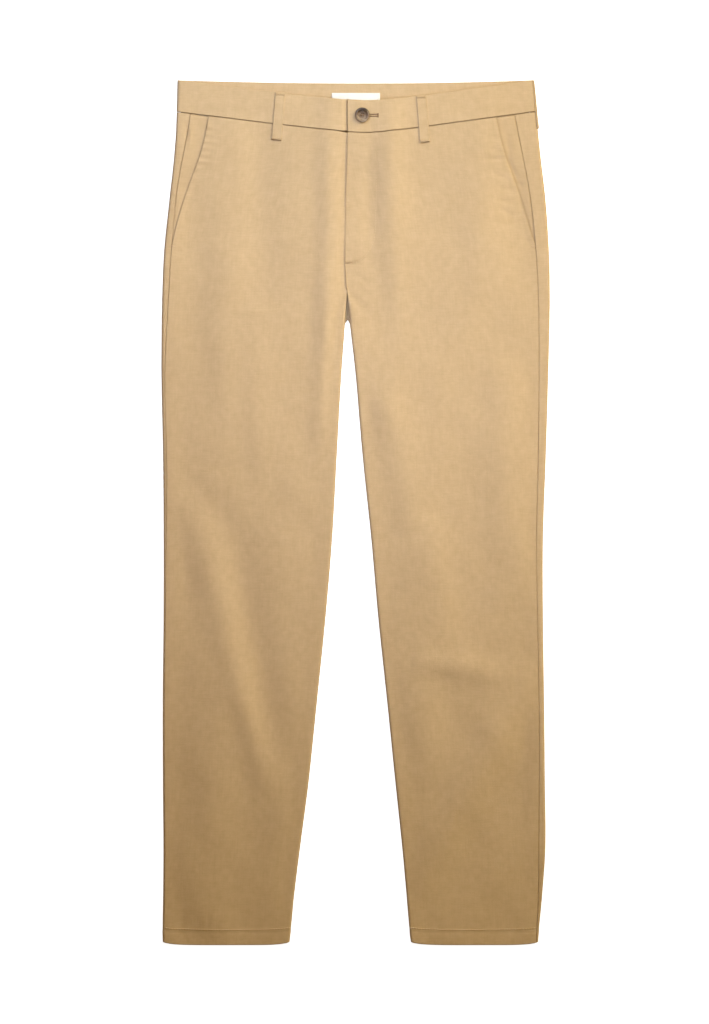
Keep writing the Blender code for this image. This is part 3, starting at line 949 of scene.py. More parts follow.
class Graph:
    """A material's nodes, made one at a time."""

    def __init__(self, name: str) -> None:
        """Starts a material that holds only a Principled shader and its output.

        Args:
            name: The material's name.
        """
        self.material = bpy.data.materials.new(name)
        self.material.use_nodes = True
        self.tree = self.material.node_tree
        self.shader = self.tree.nodes["Principled BSDF"]

    def node(self, kind: str, settings: dict | None = None, inputs: dict | None = None) -> bpy.types.Node:
        """Adds a node.

        Args:
            kind: The node's type.
            settings: Its own settings, and under "stops" a ramp's (place, colour) pairs.
            inputs: Values or links for its sockets, by name or number.

        Returns:
            The node.
        """
        node = self.tree.nodes.new(kind)
        for key, value in (settings or {}).items():
            if key == "stops":
                for extra in range(len(value) - 2):
                    node.color_ramp.elements.new(0.5 + extra * 0.01)
                for element, (place, colour) in zip(node.color_ramp.elements, value):
                    element.position = place
                    element.color = (*colour, 1.0)
            else:
                setattr(node, key, value)
        for key, value in (inputs or {}).items():
            self.plug(node.inputs[key], value)
        return node

    def plug(self, socket: bpy.types.NodeSocket, value: object) -> None:
        """Links or sets one input.

        Args:
            socket: The input.
            value: A node's output to link, or a value to set.
        """
        if isinstance(value, Socket):
            self.tree.links.new(value.out, socket)
        elif isinstance(value, tuple) and len(value) == 3 and socket.type == "RGBA":
            socket.default_value = (*value, 1.0)
        else:
            socket.default_value = value

    def finish(self, **inputs: object) -> bpy.types.Material:
        """Sets the shader's inputs.

        Args:
            inputs: Values or links by name, with underscores for the names' spaces.

        Returns:
            The material.
        """
        for key, value in inputs.items():
            self.plug(self.shader.inputs[key.replace("_", " ")], value)
        return self.material

    def weave(self) -> Socket:
        """The piece's own grain coordinates, in metres across and along."""
        return Socket(self, self.node("ShaderNodeUVMap", {"uv_map": "weave"}).outputs["UV"])

    def place(self) -> Socket:
        """Object coordinates."""
        return Socket(self, self.node("ShaderNodeTexCoord").outputs["Object"])

    def attribute(self, name: str) -> Socket:
        """A number kept at each point."""
        node = self.node("ShaderNodeAttribute", {"attribute_name": name})
        return Socket(self, node.outputs["Fac"])

    def noise(self, where: Socket, per_metre: Cells, detail: float = 2.0) -> Socket:
        """Noise with its own number of cells to the metre along each axis.

        Args:
            where: Coordinates, in metres.
            per_metre: Cells to the metre along each axis.
            detail: How many finer layers it adds.

        Returns:
            Values about 0.5.
        """
        scaled = self.node("ShaderNodeMapping", {}, {"Vector": where, "Scale": per_metre})
        node = self.node(
            "ShaderNodeTexNoise",
            {},
            {"Vector": Socket(self, scaled.outputs[0]), "Scale": 1.0, "Detail": detail},
        )
        return Socket(self, node.outputs["Fac"])

    def ridges(self, where: Socket, per_metre: float, turn: float, wander: float) -> Socket:
        """Parallel ribs at an angle.

        Args:
            where: Coordinates, in metres.
            per_metre: Ribs to the metre.
            turn: Their angle, in radians.
            wander: How far they stray from straight.

        Returns:
            Values from 0 between two ribs to 1 on one.
        """
        turned = self.node("ShaderNodeMapping", {}, {"Vector": where, "Rotation": (0.0, 0.0, turn)})
        node = self.node(
            "ShaderNodeTexWave",
            {"wave_type": "BANDS", "bands_direction": "X"},
            {
                "Vector": Socket(self, turned.outputs[0]),
                "Scale": per_metre * math.tau / 20.0,
                "Distortion": wander,
                "Detail": 1.0,
                "Detail Scale": 2.0,
            },
        )
        return Socket(self, node.outputs["Fac"])

    def blend(self, factor: object, first: object, second: object) -> Socket:
        """A colour between two."""
        node = self.node("ShaderNodeMix", {"data_type": "RGBA"}, {0: factor, 6: first, 7: second})
        return Socket(self, node.outputs[2])

    def bump(self, height: Socket, depth: float) -> Socket:
        """A normal from heights between 0 and 1, this many metres deep."""
        node = self.node("ShaderNodeBump", {}, {"Strength": 1.0, "Distance": depth, "Height": height})
        return Socket(self, node.outputs["Normal"])


@dataclass(frozen=True)
class ChinoTwill:
    """Piece-dyed cotton twill: fine diagonal ribs, slubs across, a soft nap and a mottled dye, with shade
    painted into its colour at seams, edges and gaps.
    """

    name: str
    light: Colour = (0.66, 0.478, 0.292)
    dark: Colour = (0.53, 0.372, 0.215)
    # colour of the shade painted at seams, edges and gaps
    seam_shade: Colour = (0.20, 0.115, 0.05)
    twill_per_metre: float = 950.0
    twill_turn: float = math.radians(27.0)
    slub: Cells = (75.0, 620.0, 1.0)
    warp: Cells = (560.0, 38.0, 1.0)
    speck: Cells = (620.0, 620.0, 1.0)
    mottle: Cells = (120.0, 95.0, 1.0)
    cloud: Cells = (20.0, 14.0, 1.0)
    seam_strength: float = 0.85
    relief: float = 0.00020

    def material(self) -> bpy.types.Material:
        """The cloth's nodes.

        Returns:
            The material.
        """
        graph = Graph(self.name)
        cloth = graph.weave()
        slubs = graph.noise(cloth, self.slub, 1.0)
        warp = graph.noise(cloth, self.warp, 1.0)
        specks = graph.noise(cloth, self.speck, 1.0)
        mottle = graph.noise(cloth, self.mottle, 2.0)
        cloud = graph.noise(cloth, self.cloud, 2.0)
        ribs = graph.ridges(cloth, self.twill_per_metre, self.twill_turn, 0.6)
        tone = slubs * 0.50 + warp * 0.40 + specks * 0.30 + mottle * 0.80 + cloud * 0.40 - 0.70
        dyed = graph.blend(tone, self.dark, self.light)
        # painted shade: the colour darkens towards the shade colour by each point's seam strength, along
        # seams, grooves, edges and gaps
        seam = graph.attribute("seam")
        shaded = graph.blend(seam * self.seam_strength, dyed, self.seam_shade)
        height = ribs * 0.12 + slubs * 0.34 + warp * 0.20 + specks * 0.20 + mottle * 0.6
        return graph.finish(
            Base_Color=shaded,
            Roughness=0.80 + mottle * 0.16,
            Specular_IOR_Level=0.25,
            Sheen_Weight=0.10,
            Sheen_Roughness=0.55,
            Sheen_Tint=(1.0, 0.90, 0.76, 1.0),
            Normal=graph.bump(height, self.relief),
        )


@dataclass(frozen=True)
class SewingThread:
    """Spun thread with a twist along it."""

    name: str
    colour: Colour = (0.56, 0.395, 0.23)
    light: Colour = (0.67, 0.485, 0.29)
    twist_per_metre: float = 1600.0
    twist_turn: float = math.radians(30.0)
    fuzz: Cells = (1500.0, 1500.0, 1500.0)
    relief: float = 0.00008

    def material(self) -> bpy.types.Material:
        """The thread's nodes.

        Returns:
            The material.
        """
        graph = Graph(self.name)
        twist = graph.ridges(graph.weave(), self.twist_per_metre, self.twist_turn, 0.2)
        fuzz = graph.noise(graph.place(), self.fuzz, 1.0)
        return graph.finish(
            Base_Color=graph.blend(twist * 0.6 + fuzz * 0.4, self.colour, self.light),
            Roughness=0.55 + fuzz * 0.2,
            Sheen_Weight=0.1,
            Normal=graph.bump(twist, self.relief),
        )


@dataclass(frozen=True)
class LabelWeave:
    """White satin-woven label tape."""

    name: str = "label_tape"
    white: Colour = (0.93, 0.93, 0.91)
    shade: Colour = (0.84, 0.84, 0.82)
    picks_per_metre: float = 1400.0
    ends_per_metre: float = 1800.0
    uneven: Cells = (260.0, 900.0, 1.0)
    relief: float = 0.00008

    def material(self) -> bpy.types.Material:
        """The tape's nodes.

        Returns:
            The material.
        """
        graph = Graph(self.name)
        tape = graph.weave()
        picks = graph.ridges(tape, self.picks_per_metre, math.radians(90.0), 0.1)
        ends = graph.ridges(tape, self.ends_per_metre, 0.0, 0.1)
        uneven = graph.noise(tape, self.uneven, 2.0)
        height = picks * 0.6 + ends * 0.4
        return graph.finish(
            Base_Color=graph.blend(height * 0.3 + uneven * 0.4, self.shade, self.white),
            Roughness=0.45 + uneven * 0.15,
            Sheen_Weight=0.1,
            Normal=graph.bump(height, self.relief),
        )


@dataclass(frozen=True)
class HornResin:
    """Turned resin cast to look like horn: streaks of dark and light brown, polished, with painted shade
    towards its upper side and painted light towards its lower side.
    """

    name: str = "horn_resin"
    dark: Colour = (0.055, 0.032, 0.020)
    middle: Colour = (0.20, 0.125, 0.075)
    pale: Colour = (0.40, 0.30, 0.21)
    # height in the frame about which the painted shade and light turn
    middle_y: float = 0.4875
    streak: Cells = (160.0, 320.0, 200.0)
    spot: Cells = (330.0, 330.0, 330.0)
    polish: Cells = (900.0, 900.0, 900.0)
    relief: float = 0.00003

    def material(self) -> bpy.types.Material:
        """The button's nodes.

        Returns:
            The material.
        """
        graph = Graph(self.name)
        place = graph.place()
        streak = graph.noise(place, self.streak, 3.0)
        spots = graph.noise(place, self.spot, 2.0)
        parts = graph.node("ShaderNodeSeparateXYZ", None, {"Vector": place})
        # painted shade and light: darker towards the button's upper side and paler towards its lower
        # side, standing in for its dish's shaded upper wall and lit lower rim; the streaks and spots are
        # the horn's own
        painted_shade_rise = Socket(graph, parts.outputs["Y"]) - self.middle_y
        mixed = streak * 0.16 + spots * 0.16 - painted_shade_rise * 20.0 + 0.33
        ramp = graph.node(
            "ShaderNodeValToRGB",
            {"stops": ((0.36, self.dark), (0.50, self.middle), (0.66, self.pale))},
            {"Fac": mixed},
        )
        return graph.finish(
            Base_Color=Socket(graph, ramp.outputs["Color"]),
            Roughness=0.24 + spots * 0.12,
            Coat_Weight=0.4,
            Coat_Roughness=0.12,
            Normal=graph.bump(graph.noise(place, self.polish, 1.0), self.relief),
        )


# -------------------- the garment's pieces
@dataclass
class Panels:
    """The four leg panels: two fronts and two backs."""

    cloth: LaidCloth
    finish: bpy.types.Material
    columns: int = 92
    back_columns: int = 30
    seam_radius: float = 0.32
    waist_radius: float = 0.7
    pocket_gathers: dict[Side, Gathers] = field(
        default_factory=lambda: {
            Side.RIGHT: Gathers(9.5, 11.0, 0.60),
            Side.LEFT: Gathers(9.5, 11.0, 0.30),
        }
    )
    side_gathers: Gathers = Gathers(13.0, 9.0, 0.12)
    hem_gathers: Gathers = Gathers(15.0, 14.0, 0.16)
    back_gathers: Gathers = Gathers(11.0, 9.0, 0.22)
    pocket_shade: dict[Side, float] = field(
        default_factory=lambda: {Side.RIGHT: 0.12, Side.LEFT: 0.40}
    )
    pocket_foot: float = 862.0
    pocket_blend: float = 8.0
    pocket_roll: float = 0.35
    pocket_band: float = 4.0
    pocket_raise: float = 0.25
    gathers_top: float = 1005.0
    gathers_fade: float = 15.0
    hem_depth: float = 19.4
    hem_groove: float = 17.0
    hem_top: float = 24.0
    hem_raise: float = 0.30
    hem_layer: float = 0.9
    groove_depth: float = 0.24
    fly_width: float = 38.0
    fly_foot: float = 837.0
    fly_bend: float = 46.0
    fly_top: float = 1000.0
    fly_straight: float = 0.62
    lap_width: float = 14.0
    lap_blend: float = 28.0
    edge_taper: float = 0.6
    pocket_taper: float = 14.0
    fly_taper: float = 16.0
    inner_top: float = 835.0
    inner_fade: float = 20.0
    edge_shade: float = 0.04
    back_gathers_foot: float = 440.0
    back_gathers_blend: float = 60.0
    back_fork_shade: float = 0.38
    back_fork_y: float = 788.0
    back_fork_reach: float = 36.0
    left_fold_shade: float = 0.22
    left_fold_top: float = 90.0
    left_fold_blend: float = 40.0
    fly_edge_drop: float = 0.3
    fly_raise: float = 0.20
    fly_groove: float = 0.10
    fly_foot_groove: float = 0.25
    lap_depth: float = 0.80
    lap_extra_depth: float = 0.65
    creep_pitch: float = 9.0
    creep_height: float = 0.14
    creep_lean: float = 0.8

    def rows(self) -> Array:
        """Heights of the rows: closest at the hem, seams and pockets.

        Returns:
            The heights, from the hem up.
        """
        hem = (0.0, 0.35, 0.8, 1.5, 3.0, 6.0, 10.0, 14.0, 17.0, 18.3, 19.2, 20.0, 20.8, 21.8, 24.0)
        low = np.arange(28.0, 455.0, 4.6)
        middle = np.arange(458.0, 700.0, 3.3)
        high = np.arange(702.0, 1014.0, 2.3)
        top = WAIST_SEAM - WAIST_GAP - np.array(EDGES[::-1])
        return np.concatenate([hem, low, middle, high, top])

    def hem_form(self, row: Array) -> tuple[Array, Array]:
        """The turned-up hem: its fold rounded below, a raised band and the stitched groove.

        Args:
            row: Heights of the rows.

        Returns:
            How far the outer face stands out, and the shade painted along the stitched groove.
        """
        raised = self.hem_raise * (1.0 - smooth((row - self.hem_groove + 0.6) / 2.0))
        near = bell((row - self.hem_groove) / 0.9)
        # the groove is painted with shade as well as sunk
        return raised - self.groove_depth * near - rounded(row, 1.0), 0.26 * near

    def roping(self, x: Array, row: Array) -> Array:
        """Slanting ripples of uneven strength in the hem, where its two layers creep.

        Args:
            x: Places across.
            row: Heights of the rows.

        Returns:
            The height that they add.
        """
        turns = (x + self.creep_lean * row) * math.tau / self.creep_pitch
        wave, strength = np.sin(turns + 1.6 * np.sin(x / 21.0)), 0.6 + 0.4 * np.sin(x / 33.0)
        return self.creep_height * wave * strength * bell((row - 9.0) / 8.0)

    def wall(self, row: Array) -> Array:
        """The cloth's thickness inwards, with the hem's second layer."""
        return CLOTH + self.hem_layer * (1.0 - smooth(row - self.hem_depth))

    def fly_curve(self, share: Array) -> tuple[Array, Array]:
        """The fly's stitching: down beside the edge, then curved in to it at the foot.

        The upright part runs at a steady distance from the edge; the foot is a quarter of an
        ellipse that ends on the edge.

        Args:
            share: 0 at the waist seam, 1 at the foot.

        Returns:
            Distances from the fly's edge, and heights.
        """
        straight, bend = self.fly_straight, self.fly_bend
        angle = np.clip((share - straight) / (1 - straight), 0.0, 1.0) * (math.pi / 2)
        up = np.where(
            share < straight,
            self.fly_top + (self.fly_foot + bend - self.fly_top) * share / straight,
            self.fly_foot + bend * (1.0 - np.sin(angle)),
        )
        return self.fly_width * np.cos(angle) ** 0.8, up

    def fly_distance(self, away: Array, y: Array) -> Array:
        """Distance from the fly's stitching, over the left front.

        Args:
            away: Distances from the fly's edge.
            y: Heights.

        Returns:
            The distance, above zero between the stitching and the edge.
        """
        out, up = self.fly_curve(np.linspace(0.0, 1.0, 140))
        near = np.hypot(away[..., None] - out, y[..., None] - up).min(axis=-1)
        bend = np.clip((y - self.fly_foot) / self.fly_bend, 0.0, 1.0)
        reach = self.fly_width * (1.0 - (1.0 - bend) ** 2) ** 0.4
        inside = (away < reach) & (y > self.fly_foot)
        return np.where(inside, near, -near)

    def front(self, side: Side, goes_with: list[bpy.types.Object]) -> bpy.types.Object:
        """A front, from the pocket edge and side seam to the fly, round the inner fold below.

        Args:
            side: Which half.
            goes_with: Separate pieces sewn on it; not used.

        Returns:
            The piece.
        """
        row = self.rows()[:, None]
        start = self.cloth.front_start(side, row[:, 0])
        end = self.cloth.section(side, row[:, 0], True).whole - SEAM_HALF
        u = spaced(start, end, self.columns, EDGES)
        middle = self.cloth.point(side, row, u, True)
        if side is Side.RIGHT:
            middle = self.under_the_fly(middle, row)
        from_start, from_end, from_top = u - u[:, :1], u[:, -1:] - u, row[-1] - row
        pocket = smooth((row - self.pocket_foot) / self.pocket_blend)
        inner = 1.0 if side is Side.LEFT else 1.0 - smooth((row - self.inner_top) / self.inner_fade)
        hem, hem_mark = self.hem_form(row)
        outer = hem - rounded(from_start, self.seam_radius + self.pocket_roll * pocket)
        outer = outer - rounded(from_top, self.waist_radius)
        band = 1.0 - smooth((from_start - self.pocket_band) / self.pocket_band)
        outer = outer + self.pocket_raise * pocket * band
        gather = puckers(row, from_start, self.pocket_gathers[side])
        outer = outer + gather * pocket * (1.0 - smooth((row - self.gathers_top) / self.gathers_fade))
        outer = outer + puckers(row + 300.0, from_start, self.side_gathers) * (1.0 - pocket)
        outer = outer + puckers(middle[..., 0], np.abs(row - self.hem_top), self.hem_gathers)
        outer = outer + self.roping(middle[..., 0], row)
        outer = outer - rounded(from_end, self.seam_radius) * inner
        # painted shade along the side seam and the pocket edge, in the hem's groove, along the waist seam
        # and along the inner edge
        mark = darkest(
            line(from_start, self.edge_shade + self.pocket_shade[side] * pocket),
            hem_mark,
            line(from_top, WAIST_PAINTED_SHADE),
            line(from_end, 0.15, 0.6),
        )
        wall = self.wall(row)
        wall = wall - self.edge_taper * pocket * smooth(1.0 - from_start / self.pocket_taper)
        if side is Side.LEFT:
            outer, wall, mark = self.lapping_fly(outer, wall, mark, row, from_end)
        form = shell(middle, normals(middle, side), outer, wall, mark)
        name, rests_on = f"chino_front_{side.word}", [f"chino_back_{side.word}"]
        node = f"front_{side.word}"
        return add_sheet(name, node, form, self.finish)

    def lapping_fly(
        self, outer: Array, wall: Array, mark: Array, row: Array, from_end: Array
    ) -> tuple[Array, Array, Array]:
        """The left front's edge where it laps the right: thinner, and stitched in a curve.

        Args:
            outer: How far the outer face stands out.
            wall: How far the inner face lies inside.
            mark: The shade painted into the colour.
            row: Heights of the rows, as a column.
            from_end: Distances from the edge.

        Returns:
            The first three, changed.
        """
        lapping = smooth((row - FORK_TOP) / self.lap_blend)
        inside = self.fly_distance(from_end, row + 0 * from_end)
        foot = bell((row - self.fly_foot - 1.0) / 6.0)
        sewn = smooth((row - 830.0) / 6.0)
        wall = wall - self.edge_taper * lapping * smooth(1.0 - from_end / self.fly_taper)
        groove = self.fly_groove + self.fly_foot_groove * foot
        outer = outer - self.fly_edge_drop * lapping * smooth(1.0 - from_end / 5.0)
        outer = outer + self.fly_raise * smooth(inside / 2.6)
        outer = outer - groove * bell(inside / 1.2) * sewn
        # painted shade along the fly's edge and along its stitching, darkest at the foot
        edge, stitched = line(from_end, 0.12 * lapping, 0.6), line(inside, 0.04 + 0.25 * foot, 1.0)
        return outer, wall, darkest(mark, edge, stitched)

    def under_the_fly(self, middle: Array, row: Array) -> Array:
        """Steps the right front's last columns down, to run on beneath the left front's edge.

        Args:
            middle: The right front's laid surface.
            row: Heights of the rows, as a column.

        Returns:
            The surface with its edge lapped.
        """
        sink = np.concatenate([np.linspace(0.0, 1.0, 9), np.ones(5)])
        beside = np.concatenate([np.linspace(-13.0, -0.6, 9), np.full(5, -0.6)])
        lap = np.concatenate([np.zeros(9), np.arange(1, 6) / 5.0])
        share = smooth((row - FORK_TOP) / self.lap_blend)
        x = self.cloth.fly_line.at(row) - GAP + beside + (1.2 + self.lap_width * share) * lap
        depth = self.lap_depth + self.lap_extra_depth * smooth(lap)
        depth = depth * smooth(sink * 1.15 - 0.08)
        lapped = self.cloth.lapped(x, row, depth + 0 * x, -0.8 * sink * smooth((row - 1000) / 20))
        weight = smooth((row - FORK_TOP + 14.0) / 14.0)[..., None]
        result = middle.copy()
        count = len(sink)
        result[:, -count:] = middle[:, -count:] * (1.0 - weight) + lapped * weight
        return result

    def back(self, side: Side, goes_with: list[bpy.types.Object]) -> bpy.types.Object:
        """A back, from the side seam on top, round the outer fold and along the underside.

        Args:
            side: Which half.
            goes_with: Separate pieces sewn on it; not used.

        Returns:
            The piece.
        """
        row = self.rows()[:, None]
        section = self.cloth.section(side, row[:, 0], False)
        start = self.cloth.seam(side, row[:, 0], False) - SEAM_HALF
        turn = -section.quarter
        first = start[:, None] - np.array(EDGES[:6])[None, :]
        share = np.linspace(0.0, 1.0, 27)[1:]
        near = first[:, -1:] + (turn[:, None] - first[:, -1:]) * share
        far = -spaced(1.0 - turn, section.whole - SEAM_HALF, self.back_columns, EDGES[::2])
        u = np.concatenate([first, near, far], axis=1)
        middle = self.cloth.point(side, row, u, False)
        from_start, from_end = u[:, :1] - u, u - u[:, -1:]
        hem, hem_mark = self.hem_form(row)
        outer = hem - rounded(from_start, self.seam_radius) - rounded(from_end, self.seam_radius)
        outer = outer - rounded(row[-1] - row, self.waist_radius)
        gather = puckers(row, from_start, self.back_gathers)
        outer = outer + gather * smooth((row - self.back_gathers_foot) / self.back_gathers_blend)
        outer = np.where(u < 0.0, np.minimum(outer, 0.0), outer)
        # painted shade in the gap between the fronts at the crotch, where the backs show through
        at_fork = bell((row - self.back_fork_y) / self.back_fork_reach)
        at_fork = at_fork * (1.0 - smooth(from_end / 16.0))
        # painted shade along the side seam, in the hem's groove, along the centre seam and along the
        # waist seam
        mark = darkest(
            line(from_start, self.edge_shade),
            hem_mark,
            line(from_end, 0.3),
            self.back_fork_shade * at_fork,
            line(row[-1] - row, WAIST_PAINTED_SHADE),
        )
        # painted shade on the left back's strip outside the side seam, near the hem
        if side is Side.LEFT:
            above = smooth((row - self.left_fold_top) / self.left_fold_blend)
            fold = smooth(u) * (1.0 - above)
            mark = darkest(mark, self.left_fold_shade * fold)
        form = shell(middle, normals(middle, side.other), outer, self.wall(row), mark)
        name, node = f"chino_back_{side.word}", f"back_{side.word}"
        return add_sheet(name, node, form, self.finish)


@dataclass
class PocketFacings:
    """The cloth seen inside each slanted pocket."""

    cloth: LaidCloth
    finish: bpy.types.Material
    foot: float = 850.0
    underlap: float = 20.0
    mouth: float = 16.0
    depth: float = 0.95
    extra_depth: float = 0.65
    wall: float = 1.1
    gathers: Gathers = Gathers(12.0, 9.0, 0.22)
    # strength of the shadow painted beside the front's pocket edge
    shadow: dict[Side, float] = field(
        default_factory=lambda: {Side.RIGHT: 0.10, Side.LEFT: 0.30}
    )

    def build(self, side: Side) -> bpy.types.Object:
        """One facing: flush at the side seam, dipping to run on under the front's edge.

        Args:
            side: Which half.

        Returns:
            The piece.
        """
        row = np.linspace(self.foot, WAIST_SEAM - WAIST_GAP, 84)[:, None]
        seam = self.cloth.seam(side, row, True) + SEAM_HALF
        edge = self.cloth.front_start(side, row)
        share = np.concatenate([np.array((0.0, 0.02, 0.05, 0.1)), np.linspace(0.16, 1.0, 18)])
        under = np.linspace(0.0, 1.0, 8)[1:]
        u = np.concatenate([seam + (edge - seam) * share, edge + self.underlap * under], axis=1)
        opening = np.maximum(smooth(share), 1.0 - smooth((edge - seam) / self.mouth))
        sink = np.concatenate([opening, np.ones((len(row), len(under)))], axis=1)
        laid = self.cloth.point(side, row, u, True)
        normal = normals(laid, side)
        depth = self.depth + self.extra_depth * smooth((u - edge) / self.mouth)
        middle = laid - normal * (depth * sink)[..., None]
        from_seam, from_top = u - u[:, :1], row[-1] - row
        outer = -rounded(from_seam, 0.45) * (1.0 - sink) - rounded(from_top, 0.7)
        gather = puckers(row + 40.0, from_seam, self.gathers)
        outer = outer + gather * smooth((edge - seam - 4.0) / 8.0)
        # painted shade along the side seam and the waist seam, and painted shadow beside the front's
        # pocket edge
        mark = darkest(
            line(from_seam, 0.12),
            line(u - edge, self.shadow[side], 2.2),
            line(from_top, WAIST_PAINTED_SHADE),
        )
        form = shell(middle, normal, np.minimum(outer, 0.15), self.wall, mark)
        name, rests_on = f"pocket_facing_cloth_{side.word}", [f"chino_back_{side.word}"]
        return add_sheet(name, f"pocket_facing_{side.word}", form, self.finish)


@dataclass
class Waistbands:
    """The two halves of the waistband, the left end lapping the right at the front."""

    cloth: LaidCloth
    finish: bpy.types.Material
    lap: float = 38.0
    lap_sink: float = 1.5
    lap_lift: float = 0.8
    edge_radius: float = 0.85
    proud: float = 0.35
    end_taper: float = 40.0
    end_roll: float = 6.0
    gathers: Gathers = Gathers(14.0, 6.0, 0.10)

    def build(self, side: Side, goes_with: list[bpy.types.Object]) -> bpy.types.Object:
        """Half of the band, from its front end round the side fold to the centre back.

        Args:
            side: Which half.
            goes_with: Separate pieces sewn on it; not used.

        Returns:
            The piece.
        """
        row = spaced(np.array([WAIST_SEAM]), np.array([LENGTH]), 11, EDGES[:6])[0][:, None]
        front, back = self.cloth.section(side, row, True), self.cloth.section(side, row, False)
        over = front.whole - GAP / 2 - (front.whole - front.quarter) * self.shares(110)
        around = front.quarter * (1.0 - np.linspace(0.0, 2.0, 21)[1:])
        outward = 1.0 - self.shares(70)[:, ::-1][:, 1:]
        below = -back.quarter - (back.whole - GAP / 2 - back.quarter) * outward
        u_top = np.concatenate([over, around[:, : around.shape[1] // 2]], axis=1)
        u_low = np.concatenate([around[:, around.shape[1] // 2 :], below], axis=1)
        middle = np.concatenate(
            [self.cloth.point(side, row, u_top, True), self.cloth.point(side, row, u_low, False)],
            axis=1,
        )
        if side is Side.RIGHT:
            middle = np.concatenate([self.lapped_end(row), middle[:, 10:]], axis=1)
        steps = np.linalg.norm(np.diff(middle, axis=1, prepend=middle[:, :1]), axis=-1).cumsum(1)
        from_edge = np.minimum(row - row[0], row[-1] - row)
        fall = rounded(np.minimum(from_edge, steps), self.edge_radius)
        fall = np.maximum(fall, rounded(steps[:, -1:] - steps, 0.15))
        soft = puckers(middle[..., 0], row - row[0], self.gathers)
        normal = normals(middle, side.other)
        lying = smooth(normal[..., 2] + 0.6)
        outer = (self.proud + soft) * lying - fall
        inner = BAND_CLOTH - fall * 0.8
        if side is Side.LEFT:
            inner = inner - smooth(1.0 - steps / self.end_taper)
            outer = outer - 0.3 * smooth(1.0 - steps / self.end_roll)
        # painted shade along the waist seam and at the band's ends
        mark = darkest(line(row - row[0], WAIST_PAINTED_SHADE), line(steps, 0.2, 0.6))
        form = shell(middle, normal, outer, inner, mark)
        name, node = f"waistband_cloth_{side.word}", f"waistband_{side.word}"
        return add_sheet(name, node, form, self.finish)

    def shares(self, count: int) -> Array:
        """Shares from 0 to 1, close together near 0."""
        near = np.array((0.0, 0.0015, 0.0035, 0.006, 0.010, 0.015))
        return np.concatenate([near, np.linspace(0.022, 1.0, count)])[None, :]

    def lapped_end(self, row: Array) -> Array:
        """The right band's end, which steps down and lies beneath the left one's.

        Args:
            row: Heights of the rows, as a column.

        Returns:
            Points, from the end to where it lies level.
        """
        sink = np.concatenate([np.ones(14), smooth(np.linspace(1.0, 0.0, 10))])
        beside = np.concatenate([np.full(14, -0.6), np.linspace(-0.6, -8.0, 10)])
        lap = np.concatenate([1.0 - np.array((0, 0.01, 0.025, 0.045)), np.linspace(0.9, 0.0, 10)])
        lap = np.concatenate([lap, np.zeros(10)])
        x = self.cloth.fly_line.at(row) - GAP + beside + self.lap * lap
        depth = (self.lap_sink + (BAND_CLOTH + LAP_GAP - self.lap_sink) * smooth(lap)) * sink
        return self.cloth.lapped(x, row, depth + 0 * x, self.lap_lift * sink + 0 * x)


